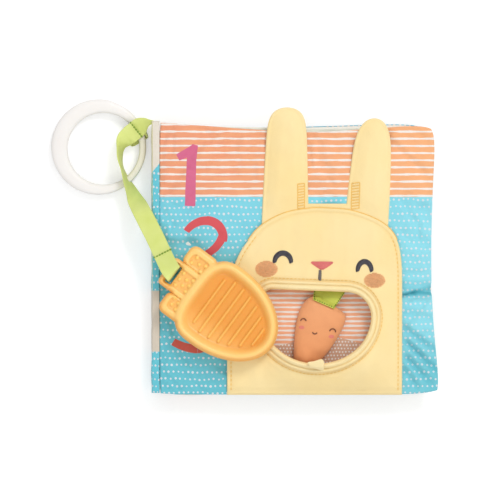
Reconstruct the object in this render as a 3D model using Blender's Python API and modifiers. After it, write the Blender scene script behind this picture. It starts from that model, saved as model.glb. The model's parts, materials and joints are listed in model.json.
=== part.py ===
"""Crinkle cloth book: three padded crinkle panels on a cloth spine.

The front cover carries a rabbit pouch with a stuffed carrot in it. A flat ring and a carrot teether
hang on ribbon from the corner of the spine. The book lies on its back cover: X runs across the page
from the spine, Y up the page, Z up. The origin is on the flat underside, in the middle of the book.
"""
import math

import bmesh
import bpy
from mathutils import Matrix, Vector

MM = 0.001

# Cloth, film, wadding and the clearance between pieces that touch
touch_gap = 0.3 * MM
fabric_thickness = 0.6 * MM
film_thickness = 0.3 * MM
wadding_thickness = 3.8 * MM
seam_allowance = 6 * MM
ribbon_width = 10.4 * MM
ribbon_thickness = 1.0 * MM

# Panels: distances from the edge at which the crown has reached each share of its height
crown_middle_distance = 14 * MM
crown_full_distance = 24 * MM
crown_distances = (0.0, seam_allowance, crown_middle_distance, crown_full_distance)
crown_shares = (0.0, 0.47, 0.85, 1.0)
panel_thickness = 2 * fabric_thickness + film_thickness + wadding_thickness + 3 * touch_gap
panel_edge_half = fabric_thickness + touch_gap / 2
middle_cells = 4
corner_cut = 3.5 * MM
corner_power = 10

# Spine and the hinge line that both pages turn about
spine_hinge_x = -78 * MM
spine_hinge_z = 14 * MM
spine_wall_x = -80.2 * MM
spine_fabric_thickness = 0.8 * MM
spine_length = 148 * MM

# Page outlines
back_left = -77.2 * MM
back_right = 76.5 * MM
back_height = 150 * MM
leaf_left = -79.5 * MM
leaf_right = 75.5 * MM
leaf_height = 147.5 * MM
front_left = -76.1 * MM
front_right = 76.5 * MM
front_height = 152 * MM
page_middle_y = -0.3 * MM
front_top_sag = 5.5 * MM
front_sag_x = 22 * MM
front_sag_reach = 80 * MM
front_flare_top = 2.2 * MM
front_flare_bottom = 4.5 * MM
leaf_top_sag = 1.5 * MM

# Rabbit pouch sewn on the front cover
rabbit_left = -38.1 * MM
rabbit_width = 98.1 * MM
rabbit_bottom = -75.6 * MM
rabbit_height = 105.3 * MM
lining_thickness = 0.5 * MM
binding_thickness = 0.8 * MM
binding_width = 5.6 * MM
sheet_cell = 8 * MM
rabbit_outline_shares = [
    (0.000, 0.000), (0.000, 0.240), (0.000, 0.480), (0.022, 0.620), (0.060, 0.727), (0.115, 0.813),
    (0.195, 0.905), (0.330, 0.975), (0.480, 1.000), (0.570, 1.000), (0.700, 0.990), (0.830, 0.950),
    (0.922, 0.893), (0.975, 0.811), (0.997, 0.692), (1.000, 0.520), (1.000, 0.240), (1.000, 0.000),
]

# Window in the pouch: a D on its side
window_left = -18.5 * MM
window_right = 42.4 * MM
window_top = -18.0 * MM
window_bottom = -58.5 * MM
window_corner = 14 * MM

# Bulge of the pouch over the carrot: where it starts and where it is full
bulge_height = 8.6 * MM
bulge_x = (-20 * MM, 1 * MM, 36 * MM, 59 * MM)
bulge_y = (-76 * MM, -64 * MM, -24 * MM, -2 * MM)

# Face pieces sewn on the rabbit
face_piece_thickness = 0.6 * MM
eye_width = 10.5 * MM
eye_height = 6.0 * MM
eye_stroke = 2.4 * MM
left_eye_x = -7.0 * MM
left_eye_y = -2.2 * MM
right_eye_x = 39.1 * MM
right_eye_y = -7.0 * MM
nose_x = 15.1 * MM
nose_y = -3.9 * MM
nose_width = 12.8 * MM
nose_height = 4.4 * MM
mouth_x = 14.0 * MM
mouth_top = -7.0 * MM
mouth_length = 4.8 * MM
mouth_width = 1.8 * MM
left_cheek_x = -16.0 * MM
left_cheek_y = -5.7 * MM
right_cheek_x = 44.3 * MM
right_cheek_y = -12.2 * MM
cheek_width = 12.2 * MM
cheek_height = 8.8 * MM

# Ears: sewn down below the fold line, free above it, all measured from the top of the head
ear_root_depth = 11.7 * MM
ear_fold_reach = 12.3 * MM
ear_layer_thickness = 2.7 * MM
left_ear_x = -5.4 * MM
left_ear_width = 26.0 * MM
left_ear_reach = 55.0 * MM
left_ear_lean = 0.7 * MM
right_ear_x = 40.1 * MM
right_ear_width = 24.4 * MM
right_ear_reach = 48.9 * MM
right_ear_lean = 5.0 * MM
ear_power = 4.4
ear_ring_shares = (1.0, 0.93, 0.78, 0.45)
ear_rise_shares = (0.0, 0.55, 0.95, 1.0)
ear_wadding_share = 0.74

# Stuffed carrot in the pouch
carrot_length = 47 * MM
carrot_width = 24.6 * MM
carrot_rise = 5.6 * MM
carrot_sink = 2.3 * MM
carrot_taper_share = 0.75
carrot_full_share = 0.30
carrot_fade_share = 0.85
carrot_top_x = 16.3 * MM
carrot_top_y = -23.5 * MM
carrot_lean_deg = 17.0
carrot_swing_x = 20.5 * MM
carrot_swing_y = -10.5 * MM
carrot_ribbon_width = 12.6 * MM
carrot_ribbon_thickness = 0.9 * MM
carrot_ribbon_low = 1.0 * MM

# Flat ring with an off-centre hole, beside the spine
ring_spine_gap = 2.65 * MM
ring_y = 62.6 * MM
ring_radius = 26.75 * MM
ring_band_width = 6.55 * MM
ring_hole_shift_x = 2.5 * MM
ring_hole_shift_y = -0.9 * MM
ring_height = 5.6 * MM
ring_round_power = 2.6

# Ribbon loop that holds the ring
loop_y = 72.3 * MM
loop_inner_clearance = 1.75 * MM
loop_outer_clearance = 1.0 * MM

# Carrot teether
teether_x = -36.8 * MM
teether_y = -31.9 * MM
teether_turn_deg = -36.46
teether_body_half_width = 25.4 * MM
teether_body_thickness = 8.5 * MM
teether_leaf_thickness = 6.5 * MM
teether_widest_u = -8 * MM
teether_tip_reach = 38 * MM
teether_crown_reach = 18.5 * MM
teether_rounding = 1.6 * MM
teether_end_u = -43.7 * MM
teether_leaf_half_width = 8.8 * MM
teether_leaf_root_u = -22 * MM
slot_start_u = -40.5 * MM
slot_end_u = -36.5 * MM
slot_half_width = 5.7 * MM
side_leaf_u = -30.5 * MM
side_leaf_w = 15.8 * MM
side_leaf_reach_u = 9.4 * MM
side_leaf_reach_w = 6.1 * MM
recess_depth = 3.0 * MM
recess_u = 6.0 * MM
recess_half_length = 20.5 * MM
recess_half_width = 18.0 * MM
rib_count = 7
rib_width = 1.0 * MM
rib_height = 1.6 * MM
rib_start_u = -9.6 * MM
rib_step = 5.3 * MM
teether_lift = 2.1 * MM
teether_pitch_deg = 3.4
cut_overrun = 2 * MM

# Places that follow from the sizes above
head_top_y = rabbit_bottom + rabbit_height
ear_root_y = head_top_y - ear_root_depth
ear_fold_y = head_top_y + ear_fold_reach
left_ear_tip_y = head_top_y + left_ear_reach
right_ear_tip_y = head_top_y + right_ear_reach
ring_hole_radius = ring_radius - ring_band_width
ring_x = spine_wall_x - spine_fabric_thickness / 2 - ring_spine_gap - ring_radius

# Heights that follow from the sizes above
back_base = 0.0
leaf_base = back_base + panel_thickness + touch_gap
front_base = leaf_base + panel_thickness + touch_gap
cover_top_z = front_base + panel_thickness
ear_bottom_z = cover_top_z + touch_gap
ear_top_z = ear_bottom_z + ear_layer_thickness
loop_bottom_z = touch_gap + ribbon_thickness / 2
ring_bottom_z = loop_bottom_z + ribbon_thickness / 2 + touch_gap
ring_top_z = ring_bottom_z + ring_height
loop_top_z = ring_top_z + touch_gap + ribbon_thickness / 2


def remove_everything():
    """Empty the scene, so that the model is all that it holds."""
    for item in list(bpy.data.objects):
        bpy.data.objects.remove(item, do_unlink=True)


remove_everything()
book = bpy.data.collections.new("crinkle_cloth_book")
cutters = bpy.data.collections.new("cutters")
bpy.context.scene.collection.children.link(book)
bpy.context.scene.collection.children.link(cutters)


def material(name, colour, roughness, metallic=0.0):
    """A plain Principled material in the piece's own colour."""
    made = bpy.data.materials.get(name) or bpy.data.materials.new(name)
    made.use_nodes = True
    shader = made.node_tree.nodes["Principled BSDF"]
    shader.inputs["Base Color"].default_value = (*colour, 1.0)
    shader.inputs["Roughness"].default_value = roughness
    shader.inputs["Metallic"].default_value = metallic
    return made


def joint_empty(name, x, y, z):
    """An empty on a joint's axis; the pieces that move there are its children."""
    empty = bpy.data.objects.new(name, None)
    empty.location = (x, y, z)
    book.objects.link(empty)
    return empty


def add_piece(name, bm, colour, roughness=0.8, parent=None):
    """Turn a bmesh in world places into a named piece with its own material."""
    mesh = bpy.data.meshes.new(name)
    bmesh.ops.recalc_face_normals(bm, faces=bm.faces)
    bm.to_mesh(mesh)
    bm.free()
    piece = bpy.data.objects.new(name, mesh)
    mesh.materials.append(material(name, colour, roughness))
    book.objects.link(piece)
    if parent is not None:
        bpy.context.view_layer.update()
        piece.parent = parent
        piece.matrix_parent_inverse = parent.matrix_world.inverted()
    return piece


def add_cutter(name, bm):
    """A hidden helper shape for a Boolean."""
    mesh = bpy.data.meshes.new(name)
    bmesh.ops.recalc_face_normals(bm, faces=bm.faces)
    bm.to_mesh(mesh)
    bm.free()
    cutter = bpy.data.objects.new(name, mesh)
    cutter.hide_render = True
    cutter.display_type = "WIRE"
    cutters.objects.link(cutter)
    return cutter


def boolean(piece, cutter, operation):
    """Cut, keep or join with a helper shape."""
    step = piece.modifiers.new(operation.lower(), "BOOLEAN")
    step.operation = operation
    step.solver = "EXACT"
    step.object = cutter


def smoothstep(share):
    """Ease from nought to one."""
    share = min(max(share, 0.0), 1.0)
    return share * share * (3 - 2 * share)


def rise(distance):
    """Share of the crown's height at a distance from a panel's edge."""
    for (start, end), (low, high) in zip(
        zip(crown_distances, crown_distances[1:]), zip(crown_shares, crown_shares[1:])
    ):
        if distance <= end:
            return low + (high - low) * max(distance - start, 0.0) / (end - start)
    return crown_shares[-1]


def slab(xs, ys, low, high, place=None):
    """A closed sheet over grid lines xs and ys, between the heights low(x, y) and high(x, y)."""
    columns, rows = len(xs) - 1, len(ys) - 1
    bm = bmesh.new()
    bmesh.ops.create_grid(bm, x_segments=columns, y_segments=rows, size=1)
    bmesh.ops.triangulate(bm, faces=bm.faces, quad_method="FIXED")
    for vert in bm.verts:
        column = round((vert.co.x + 1) / 2 * columns)
        row = round((vert.co.y + 1) / 2 * rows)
        vert.co = (xs[column], ys[row], 0.0)
    lower = list(bm.verts)
    extruded = bmesh.ops.extrude_face_region(bm, geom=bm.faces[:])
    upper = [item for item in extruded["geom"] if isinstance(item, bmesh.types.BMVert)]
    for verts, height in ((lower, low), (upper, high)):
        for vert in verts:
            x, y = vert.co.x, vert.co.y
            across, along = place(x, y) if place else (x, y)
            vert.co = (across, along, height(x, y))
    bmesh.ops.triangulate(bm, faces=[face for face in bm.faces if len(face.verts) > 3])
    return bm


class Panel:
    """One padded page: two fabrics sewn together round the edge, with film and wadding between."""

    def __init__(self, left, right, height, base, top_sag=0.0, flare_top=0.0, flare_bottom=0.0):
        self.left, self.right = left, right
        self.bottom = page_middle_y - height / 2
        self.top = page_middle_y + height / 2
        self.middle_z = base + panel_thickness / 2
        self.top_sag = top_sag
        self.flare_top, self.flare_bottom = flare_top, flare_bottom

    def lines(self, low, high):
        """Grid lines: close together where the crown bends, wide apart in the middle."""
        start = [low + distance for distance in crown_distances]
        end = [high - distance for distance in reversed(crown_distances)]
        span = end[0] - start[-1]
        middle = [start[-1] + span * step / middle_cells for step in range(1, middle_cells)]
        return start + middle + end

    def half(self, x, y):
        """Half of the panel's thickness at a place."""
        crown = rise(min(x - self.left, self.right - x)) * rise(min(y - self.bottom, self.top - y))
        return panel_edge_half + (panel_thickness / 2 - panel_edge_half) * crown

    def top_z(self, x, y):
        """Height of the panel's upper face."""
        return self.middle_z + self.half(x, y)

    def place(self, x, y):
        """Round the corners, let the top edge sag and the free edge flare."""
        half_width = (self.right - self.left) / 2
        half_height = (self.top - self.bottom) / 2
        across = (x - self.left) / half_width - 1
        along = (y - self.bottom) / half_height - 1
        pull = corner_cut * abs(across) ** corner_power * abs(along) ** corner_power
        sag = self.top_sag * max(0.0, 1 - ((x - front_sag_x) / front_sag_reach) ** 2)
        flare = self.flare_top if along > 0 else self.flare_bottom
        moved_x = x - math.copysign(pull, across) + flare * along ** 2 * max(across, 0.0) ** 4
        moved_y = y - math.copysign(pull, along) - sag * max(along, 0.0) ** 4
        return moved_x, moved_y

    def layer(self, name, low, high, skip, colour, roughness, parent):
        """One layer of the pad; skip leaves out the seam allowance."""
        xs = self.lines(self.left, self.right)
        ys = self.lines(self.bottom, self.top)
        if skip:
            xs, ys = xs[1:-1], ys[1:-1]
        return add_piece(name, slab(xs, ys, low, high, self.place), colour, roughness, parent)

    def build(self, prefix, lower_name, upper_name, colours, parent=None):
        """The lower fabric, the film on it, the wadding and the upper fabric."""
        lower_colour, upper_colour = colours

        def under(x, y):
            return self.middle_z - self.half(x, y)

        def film_low(x, y):
            return under(x, y) + fabric_thickness + touch_gap

        def wadding_low(x, y):
            return film_low(x, y) + film_thickness + touch_gap

        def upper_low(x, y):
            return self.top_z(x, y) - fabric_thickness

        self.layer(prefix + lower_name, under, lambda x, y: under(x, y) + fabric_thickness,
                   False, lower_colour, 0.85, parent)
        self.layer(prefix + "crinkle_film", film_low, lambda x, y: film_low(x, y) + film_thickness,
                   True, (0.80, 0.82, 0.84), 0.25, parent)
        self.layer(prefix + "wadding", wadding_low, lambda x, y: upper_low(x, y) - touch_gap,
                   True, (0.90, 0.90, 0.87), 0.95, parent)
        self.layer(prefix + upper_name, upper_low, self.top_z, False, upper_colour, 0.85, parent)


def smooth_outline(points, steps=3):
    """A closed round outline through the points."""
    count = len(points)
    made = []
    for index in range(count):
        before, start, end, after = (Vector(points[(index + k) % count]) for k in (-1, 0, 1, 2))
        for step in range(steps):
            t = step / steps
            made.append(0.5 * (2 * start + (end - before) * t
                               + (2 * before - 5 * start + 4 * end - after) * t ** 2
                               + (3 * start - before - 3 * end + after) * t ** 3))
    return [(point.x, point.y) for point in made]


def grow_outline(points, distance):
    """The outline moved outwards by a distance, for one that runs clockwise or not."""
    count = len(points)
    area = sum(points[i - 1][0] * points[i][1] - points[i][0] * points[i - 1][1]
               for i in range(count))
    side = math.copysign(distance, area)
    grown = []
    for index in range(count):
        before = Vector(points[index - 1])
        after = Vector(points[(index + 1) % count])
        along = (after - before).normalized()
        here = Vector(points[index]) + side * Vector((along.y, -along.x))
        grown.append((here.x, here.y))
    return grown


def prism(outline, low, high):
    """A flat outline made into a solid between two heights."""
    bm = bmesh.new()
    face = bm.faces.new([bm.verts.new((x, y, low)) for x, y in outline])
    extruded = bmesh.ops.extrude_face_region(bm, geom=[face])
    for item in extruded["geom"]:
        if isinstance(item, bmesh.types.BMVert):
            item.co.z = high
    return bm


def ellipse(centre_x, centre_y, width, height, sides=20):
    """Points round an ellipse."""
    turns = [math.tau * side / sides for side in range(sides)]
    return [(centre_x + width / 2 * math.cos(turn), centre_y + height / 2 * math.sin(turn))
            for turn in turns]


def finer(lines, cell):
    """The same grid lines with more between them, so that none are further apart than a cell."""
    made = []
    for start, end in zip(lines, lines[1:]):
        parts = max(1, math.ceil((end - start) / cell))
        made += [start + (end - start) * part / parts for part in range(parts)]
    return made + [lines[-1]]


def spanning(lines, low, high):
    """The grid lines that take in everything from low to high."""
    first = max(index for index, line in enumerate(lines) if line < low)
    last = min(index for index, line in enumerate(lines) if line > high)
    return lines[first:last + 1]


front = Panel(front_left, front_right, front_height, front_base,
              front_top_sag, front_flare_top, front_flare_bottom)
leaf = Panel(leaf_left, leaf_right, leaf_height, leaf_base, leaf_top_sag)
back = Panel(back_left, back_right, back_height, back_base)

# Grid lines of the pouch and of all that is sewn on it, shared so that the layers lie evenly
pouch_xs = finer(sorted(front.lines(front.left, front.right) + list(bulge_x)), sheet_cell)
pouch_ys = finer(sorted(front.lines(front.bottom, front.top) + list(bulge_y)), sheet_cell)


def bulge(x, y):
    """How far the pouch stands off the cover over the carrot."""
    shares = []
    for place, (start, full, leave, end) in ((x, bulge_x), (y, bulge_y)):
        shares.append(smoothstep((place - start) / (full - start))
                      * smoothstep((end - place) / (end - leave)))
    return bulge_height * shares[0] * shares[1]


def lining_low(x, y):
    return front.top_z(x, y) + touch_gap


def sheet_low(x, y):
    return lining_low(x, y) + lining_thickness + touch_gap + bulge(x, y)


def sheet_high(x, y):
    return sheet_low(x, y) + fabric_thickness


def trim_low(x, y):
    return sheet_high(x, y) + touch_gap


def patch(name, outline, low, high, colour, parent, holes=(), roughness=0.85):
    """A piece of cloth of a given outline that follows the pouch's surface."""
    xs = spanning(pouch_xs, min(x for x, y in outline), max(x for x, y in outline))
    ys = spanning(pouch_ys, min(y for x, y in outline), max(y for x, y in outline))
    piece = add_piece(name, slab(xs, ys, low, high), colour, roughness, parent)
    tall = cover_top_z + bulge_height + cut_overrun * 2
    boolean(piece, add_cutter(name + "_outline", prism(outline, front_base, tall)), "INTERSECT")
    for index, hole in enumerate(holes):
        cutter = add_cutter(f"{name}_hole_{index}", prism(hole, front_base, tall))
        boolean(piece, cutter, "DIFFERENCE")
    return piece


def window_outline(grow, corner_steps=4, bowl_steps=14):
    """The D-shaped opening, made larger all round by grow."""
    half_width = (window_right - window_left) / 2 + grow
    middle = (window_right + window_left) / 2
    corner = window_corner + grow
    shoulder = window_top + grow - corner
    depth = shoulder - (window_bottom - grow)
    points = []
    for side in (1, -1):
        for step in range(corner_steps + 1):
            share = step / corner_steps if side > 0 else 1 - step / corner_steps
            turn = share * math.pi / 2
            points.append((middle + side * (half_width - corner + corner * math.cos(turn)),
                           shoulder + corner * math.sin(turn)))
    for step in range(1, bowl_steps):
        turn = math.pi * step / bowl_steps
        points.append((middle - half_width * math.cos(turn), shoulder - depth * math.sin(turn)))
    return points


def arch(centre_x, top_y, width, height, stroke, steps=10):
    """The outline of an arched stroke with its ends down."""
    outer, inner = [], []
    for step in range(steps + 1):
        turn = math.pi * step / steps
        outer.append((centre_x + width / 2 * math.cos(turn), top_y - height
                      + height * math.sin(turn)))
        inner.append((centre_x + (width / 2 - stroke) * math.cos(turn), top_y - height
                      + (height - stroke) * math.sin(turn)))
    return outer + inner[::-1]


def rounded_triangle(centre_x, centre_y, width, height):
    """A soft triangle that points down."""
    half_width, half_height = width / 2, height / 2
    corners = [(-0.96, 0.70), (-0.72, 1.00), (0.0, 0.92), (0.72, 1.00), (0.96, 0.70),
               (0.42, -0.45), (0.0, -1.00), (-0.42, -0.45)]
    return smooth_outline([(centre_x + a * half_width, centre_y + b * half_height)
                           for a, b in corners], 2)


def build_pages(leaf_body, front_body):
    """The three padded pages, bottom to top."""
    back.build("back_cover_", "outer_fabric", "inner_fabric",
               ((0.24, 0.66, 0.80), (0.88, 0.86, 0.76)))
    leaf.build("leaf_", "back_fabric", "front_fabric",
               ((0.88, 0.62, 0.40), (0.88, 0.86, 0.76)), leaf_body)
    front.build("front_cover_", "inner_fabric", "outer_fabric",
                ((0.55, 0.78, 0.55), (0.16, 0.58, 0.74)), front_body)


def build_spine():
    """The spine cloth: a strip bent round the left side, its hems against both covers."""
    half = spine_fabric_thickness / 2
    back_edge = back.left - touch_gap
    front_edge = front.left - touch_gap
    hem = spine_hinge_x - spine_wall_x
    route = [
        (back_edge, back.middle_z), (back_edge - hem / 2, back.middle_z - half),
        (spine_wall_x + half, back.middle_z + half), (spine_wall_x, leaf.middle_z - hem),
        (spine_wall_x, leaf.middle_z + hem), (spine_wall_x + half, front.middle_z - half),
        (spine_wall_x + hem / 2 + half, front.middle_z + half), (front_edge, front.middle_z),
    ]
    points = []
    for side in (1, -1):
        line = route if side > 0 else route[::-1]
        for index, here in enumerate(line):
            before = Vector(line[max(index - 1, 0)])
            after = Vector(line[min(index + 1, len(line) - 1)])
            along = (after - before).normalized()
            spot = Vector(here) + half * Vector((-along.y, along.x))
            points.append((spot.x, spot.y))
    bm = prism(points, page_middle_y - spine_length / 2, page_middle_y + spine_length / 2)
    for vert in bm.verts:
        vert.co = (vert.co.x, vert.co.z, vert.co.y)
    add_piece("spine_fabric", bm, (0.86, 0.84, 0.76))


def build_pouch(parent):
    """Lining, rabbit front with its window, and the window's binding."""
    outline = [(rabbit_left + a * rabbit_width, rabbit_bottom + b * rabbit_height)
               for a, b in rabbit_outline_shares]
    lining = [(x, y) for x, y in window_outline(binding_width * 1.6)]
    patch("pouch_lining", lining, lining_low,
          lambda x, y: lining_low(x, y) + lining_thickness, (0.86, 0.60, 0.46), parent)
    patch("rabbit_front", outline, sheet_low, sheet_high, (0.97, 0.80, 0.42), parent,
          holes=[window_outline(touch_gap)])
    patch("window_binding", window_outline(binding_width), trim_low,
          lambda x, y: trim_low(x, y) + binding_thickness, (0.97, 0.80, 0.42), parent,
          holes=[window_outline(0.0)])
    return outline


def build_face(parent):
    """Eyes, nose, mouth and cheeks, sewn on the rabbit."""
    def high(x, y):
        return trim_low(x, y) + face_piece_thickness

    pieces = {
        "left_eye": (arch(left_eye_x, left_eye_y + eye_height, eye_width, eye_height, eye_stroke),
                     (0.06, 0.05, 0.06)),
        "right_eye": (arch(right_eye_x, right_eye_y + eye_height, eye_width, eye_height,
                           eye_stroke), (0.06, 0.05, 0.06)),
        "nose": (rounded_triangle(nose_x, nose_y, nose_width, nose_height), (0.68, 0.17, 0.15)),
        "mouth_line": (ellipse(mouth_x, mouth_top - mouth_length / 2, mouth_width, mouth_length,
                               10), (0.16, 0.16, 0.17)),
        "left_cheek": (ellipse(left_cheek_x, left_cheek_y, cheek_width, cheek_height),
                       (0.80, 0.42, 0.20)),
        "right_cheek": (ellipse(right_cheek_x, right_cheek_y, cheek_width, cheek_height),
                        (0.80, 0.42, 0.20)),
    }
    for name, (outline, colour) in pieces.items():
        patch(name, outline, trim_low, high, colour, parent)


def ear_outline(middle_x, width, tip_y, lean, low_y, steps=7):
    """Outline of an ear above a height: straight sides that round over at the tip."""
    reach = tip_y - ear_root_y
    right, left = [], []
    for step in range(steps + 1):
        share = 1 - (1 - step / steps) ** 2
        y = low_y + (tip_y - low_y) * share
        along = (y - ear_root_y) / reach
        half = width / 2 * math.sqrt(max(0.0, 1 - along ** ear_power))
        centre = middle_x + lean * along
        right.append((centre + half, y))
        if step < steps:
            left.append((centre - half, y))
    return right + left[::-1]


def crowned_cap(outline, edge_z, crown_z, thickness):
    """A thin cloth cap over an outline: low at its edge and raised inside."""
    bm = bmesh.new()
    middle = sum((Vector(point) for point in outline), Vector((0.0, 0.0))) / len(outline)
    rings = []
    for height in (0.0, thickness):
        rows = []
        for reach, lift in zip(ear_ring_shares, ear_rise_shares):
            z = edge_z + (crown_z - edge_z) * lift + height
            spots = [middle + (Vector(point) - middle) * reach for point in outline]
            rows.append([bm.verts.new((spot.x, spot.y, z)) for spot in spots])
        rings.append(rows)
    count = len(outline)
    for rows in rings:
        for outer, inner in zip(rows, rows[1:]):
            for index in range(count):
                following = (index + 1) % count
                bm.faces.new((outer[index], outer[following], inner[following], inner[index]))
        bm.faces.new(rows[-1])
    lower, upper = rings[0][0], rings[1][0]
    for index in range(count):
        following = (index + 1) % count
        bm.faces.new((lower[index], lower[following], upper[following], upper[index]))
    return bm


def build_ear(side, middle_x, width, tip_y, lean, head, cover_body, ear_body):
    """An ear: a base sewn to the cover, and a free flap of two fabrics with wadding between."""
    whole = ear_outline(middle_x, width, tip_y, lean, ear_root_y)
    colour = (0.97, 0.80, 0.42)
    base = add_piece(f"{side}_ear_base", prism(whole, ear_bottom_z, ear_top_z), colour,
                     parent=cover_body)
    far = rabbit_width
    above = [(middle_x - far, ear_fold_y - touch_gap), (middle_x + far, ear_fold_y - touch_gap),
             (middle_x + far, tip_y + far), (middle_x - far, tip_y + far)]
    boolean(base, add_cutter(f"{side}_ear_above", prism(above, 0.0, ear_top_z * 2)), "DIFFERENCE")
    boolean(base, add_cutter(f"{side}_ear_head", prism(grow_outline(head, touch_gap), 0.0,
                                                       ear_top_z * 2)), "DIFFERENCE")
    flap = ear_outline(middle_x, width, tip_y, lean, ear_fold_y)
    back_top = ear_bottom_z + fabric_thickness
    add_piece(f"{side}_ear_back_fabric", prism(flap, ear_bottom_z, back_top), colour,
              parent=ear_body)
    middle = sum((Vector(point) for point in flap), Vector((0.0, 0.0))) / len(flap)
    inside = [tuple(middle + (Vector(point) - middle) * ear_wadding_share) for point in flap]
    front_low = ear_top_z - fabric_thickness
    add_piece(f"{side}_ear_wadding",
              prism(inside, back_top + touch_gap, front_low - touch_gap), (0.90, 0.90, 0.87),
              parent=ear_body)
    add_piece(f"{side}_ear_front_fabric",
              crowned_cap(flap, back_top + touch_gap, front_low, fabric_thickness), colour,
              parent=ear_body)


def carrot_shape(shrink):
    """The stuffed carrot: round at its top, drawn out to a tip, flatter underneath."""
    bm = bmesh.new()
    bmesh.ops.create_uvsphere(bm, u_segments=14, v_segments=10, radius=1)
    lean = math.radians(carrot_lean_deg)
    down = Vector((-math.sin(lean), -math.cos(lean), 0.0))
    across = Vector((math.cos(lean), -math.sin(lean), 0.0))
    top = Vector((carrot_top_x, carrot_top_y, carrot_seam_z()))
    for vert in bm.verts:
        share = (1 - vert.co.z) / 2
        ring = math.hypot(vert.co.x, vert.co.y)
        taper = 1 - carrot_taper_share * smoothstep((share - carrot_full_share) / carrot_fade_share)
        reach = carrot_length / 2 - shrink
        side = (carrot_width / 2 - shrink) * taper * ring ** 0.75
        height = (carrot_rise if vert.co.y > 0 else carrot_sink) - shrink
        turn_x = vert.co.x / ring if ring > 0 else 0.0
        turn_y = vert.co.y / ring if ring > 0 else 0.0
        vert.co = (top + down * (carrot_length / 2 - reach * vert.co.z) + across * side * turn_x
                   + Vector((0.0, 0.0, height * (0.35 + 0.65 * taper) * ring ** 0.75 * turn_y)))
    return bm


def carrot_seam_z():
    """Height of the carrot's side seam, above the lining."""
    return cover_top_z + 2 * touch_gap + lining_thickness + carrot_sink


def build_carrot(parent):
    """The carrot's two fabrics over its stuffing, and the ribbon that it is sewn in by."""
    seam = carrot_seam_z()
    far = carrot_length * 2
    square = [(carrot_top_x - far, carrot_top_y - far), (carrot_top_x + far, carrot_top_y - far),
              (carrot_top_x + far, carrot_top_y + far), (carrot_top_x - far, carrot_top_y + far)]
    halves = {
        "carrot_front_fabric": (seam - far, seam + touch_gap / 2),
        "carrot_back_fabric": (seam - touch_gap / 2, seam + far),
    }
    for name, (low, high) in halves.items():
        piece = add_piece(name, carrot_shape(0.0), (0.80, 0.33, 0.13), parent=parent)
        boolean(piece, add_cutter(name + "_half", prism(square, low, high)), "DIFFERENCE")
        boolean(piece, add_cutter(name + "_inside", carrot_shape(fabric_thickness)), "DIFFERENCE")
    add_piece("carrot_stuffing", carrot_shape(fabric_thickness + touch_gap), (0.9, 0.9, 0.87),
              parent=parent)
    low_z = cover_top_z + 2 * touch_gap + lining_thickness + carrot_ribbon_low
    start = Vector((carrot_top_x, carrot_top_y + touch_gap * 2, seam))
    end = Vector((carrot_swing_x, carrot_swing_y, low_z))
    across = Vector((math.cos(math.radians(carrot_lean_deg)),
                     -math.sin(math.radians(carrot_lean_deg)), 0.0))
    bm = ribbon([start, start.lerp(end, 0.35), start.lerp(end, 0.7), end], [across] * 4,
                carrot_ribbon_width, carrot_ribbon_thickness, 2)
    add_piece("carrot_ribbon", bm, (0.55, 0.68, 0.16), parent=parent)


def spline(points, steps):
    """Points on a smooth open curve through the given ones."""
    ends = [2 * points[0] - points[1]] + list(points) + [2 * points[-1] - points[-2]]
    made = []
    for index in range(1, len(ends) - 2):
        before, start, end, after = ends[index - 1:index + 3]
        for step in range(steps):
            t = step / steps
            made.append(0.5 * (2 * start + (end - before) * t
                               + (2 * before - 5 * start + 4 * end - after) * t ** 2
                               + (3 * start - before - 3 * end + after) * t ** 3))
    return made + [points[-1]]


def ribbon(points, widths, width, thickness, steps=3):
    """A flat strap along points; widths are the directions in which it is wide."""
    path = spline(points, steps)
    sides = spline(widths, steps)
    bm = bmesh.new()
    rows = []
    for index, here in enumerate(path):
        along = (path[min(index + 1, len(path) - 1)] - path[max(index - 1, 0)]).normalized()
        side = (sides[index] - along * sides[index].dot(along)).normalized()
        up = along.cross(side)
        corners = [(1, 1), (-1, 1), (-1, -1), (1, -1)]
        rows.append([bm.verts.new(here + side * a * width / 2 + up * b * thickness / 2)
                     for a, b in corners])
    for start, end in zip(rows, rows[1:]):
        for corner in range(4):
            following = (corner + 1) % 4
            bm.faces.new((start[corner], start[following], end[following], end[corner]))
    bm.faces.new(rows[0])
    bm.faces.new(rows[-1])
    bmesh.ops.triangulate(bm, faces=bm.faces)
    return bm


def ring_place(radius, turn_deg, z):
    """A place given by its distance and direction from the middle of the ring."""
    turn = math.radians(turn_deg)
    return Vector((ring_x + radius * math.cos(turn), ring_y + radius * math.sin(turn), z))


def build_ring(parent):
    """The flat ring: a torus whose section widens away from the hole's shift."""
    bpy.ops.mesh.primitive_torus_add(major_segments=40, minor_segments=10,
                                     major_radius=ring_radius, minor_radius=ring_height / 2)
    made = bpy.context.object
    bm = bmesh.new()
    bm.from_mesh(made.data)
    old = made.data
    bpy.data.objects.remove(made)
    bpy.data.meshes.remove(old)
    shift = Vector((ring_hole_shift_x, ring_hole_shift_y))
    for vert in bm.verts:
        outwards = Vector((vert.co.x, vert.co.y)).normalized()
        offset = math.hypot(vert.co.x, vert.co.y) - ring_radius
        turn = math.atan2(vert.co.z, offset)
        along = outwards.dot(shift)
        hole = along + math.sqrt(ring_hole_radius ** 2 - shift.length_squared + along ** 2)
        power = 2 / ring_round_power
        round_x = math.copysign(abs(math.cos(turn)) ** power, math.cos(turn))
        round_z = math.copysign(abs(math.sin(turn)) ** power, math.sin(turn))
        reach = (ring_radius + hole) / 2 + (ring_radius - hole) / 2 * round_x
        vert.co = (ring_x + outwards.x * reach, ring_y + outwards.y * reach,
                   ring_bottom_z + ring_height / 2 * (1 + round_z))
    add_piece("ring", bm, (0.86, 0.82, 0.79), 0.35, parent)


def loop_turn_deg():
    """Direction from the ring's middle to where its ribbon leaves the spine."""
    return math.degrees(math.atan2(loop_y - ring_y, spine_wall_x - ring_x))


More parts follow.
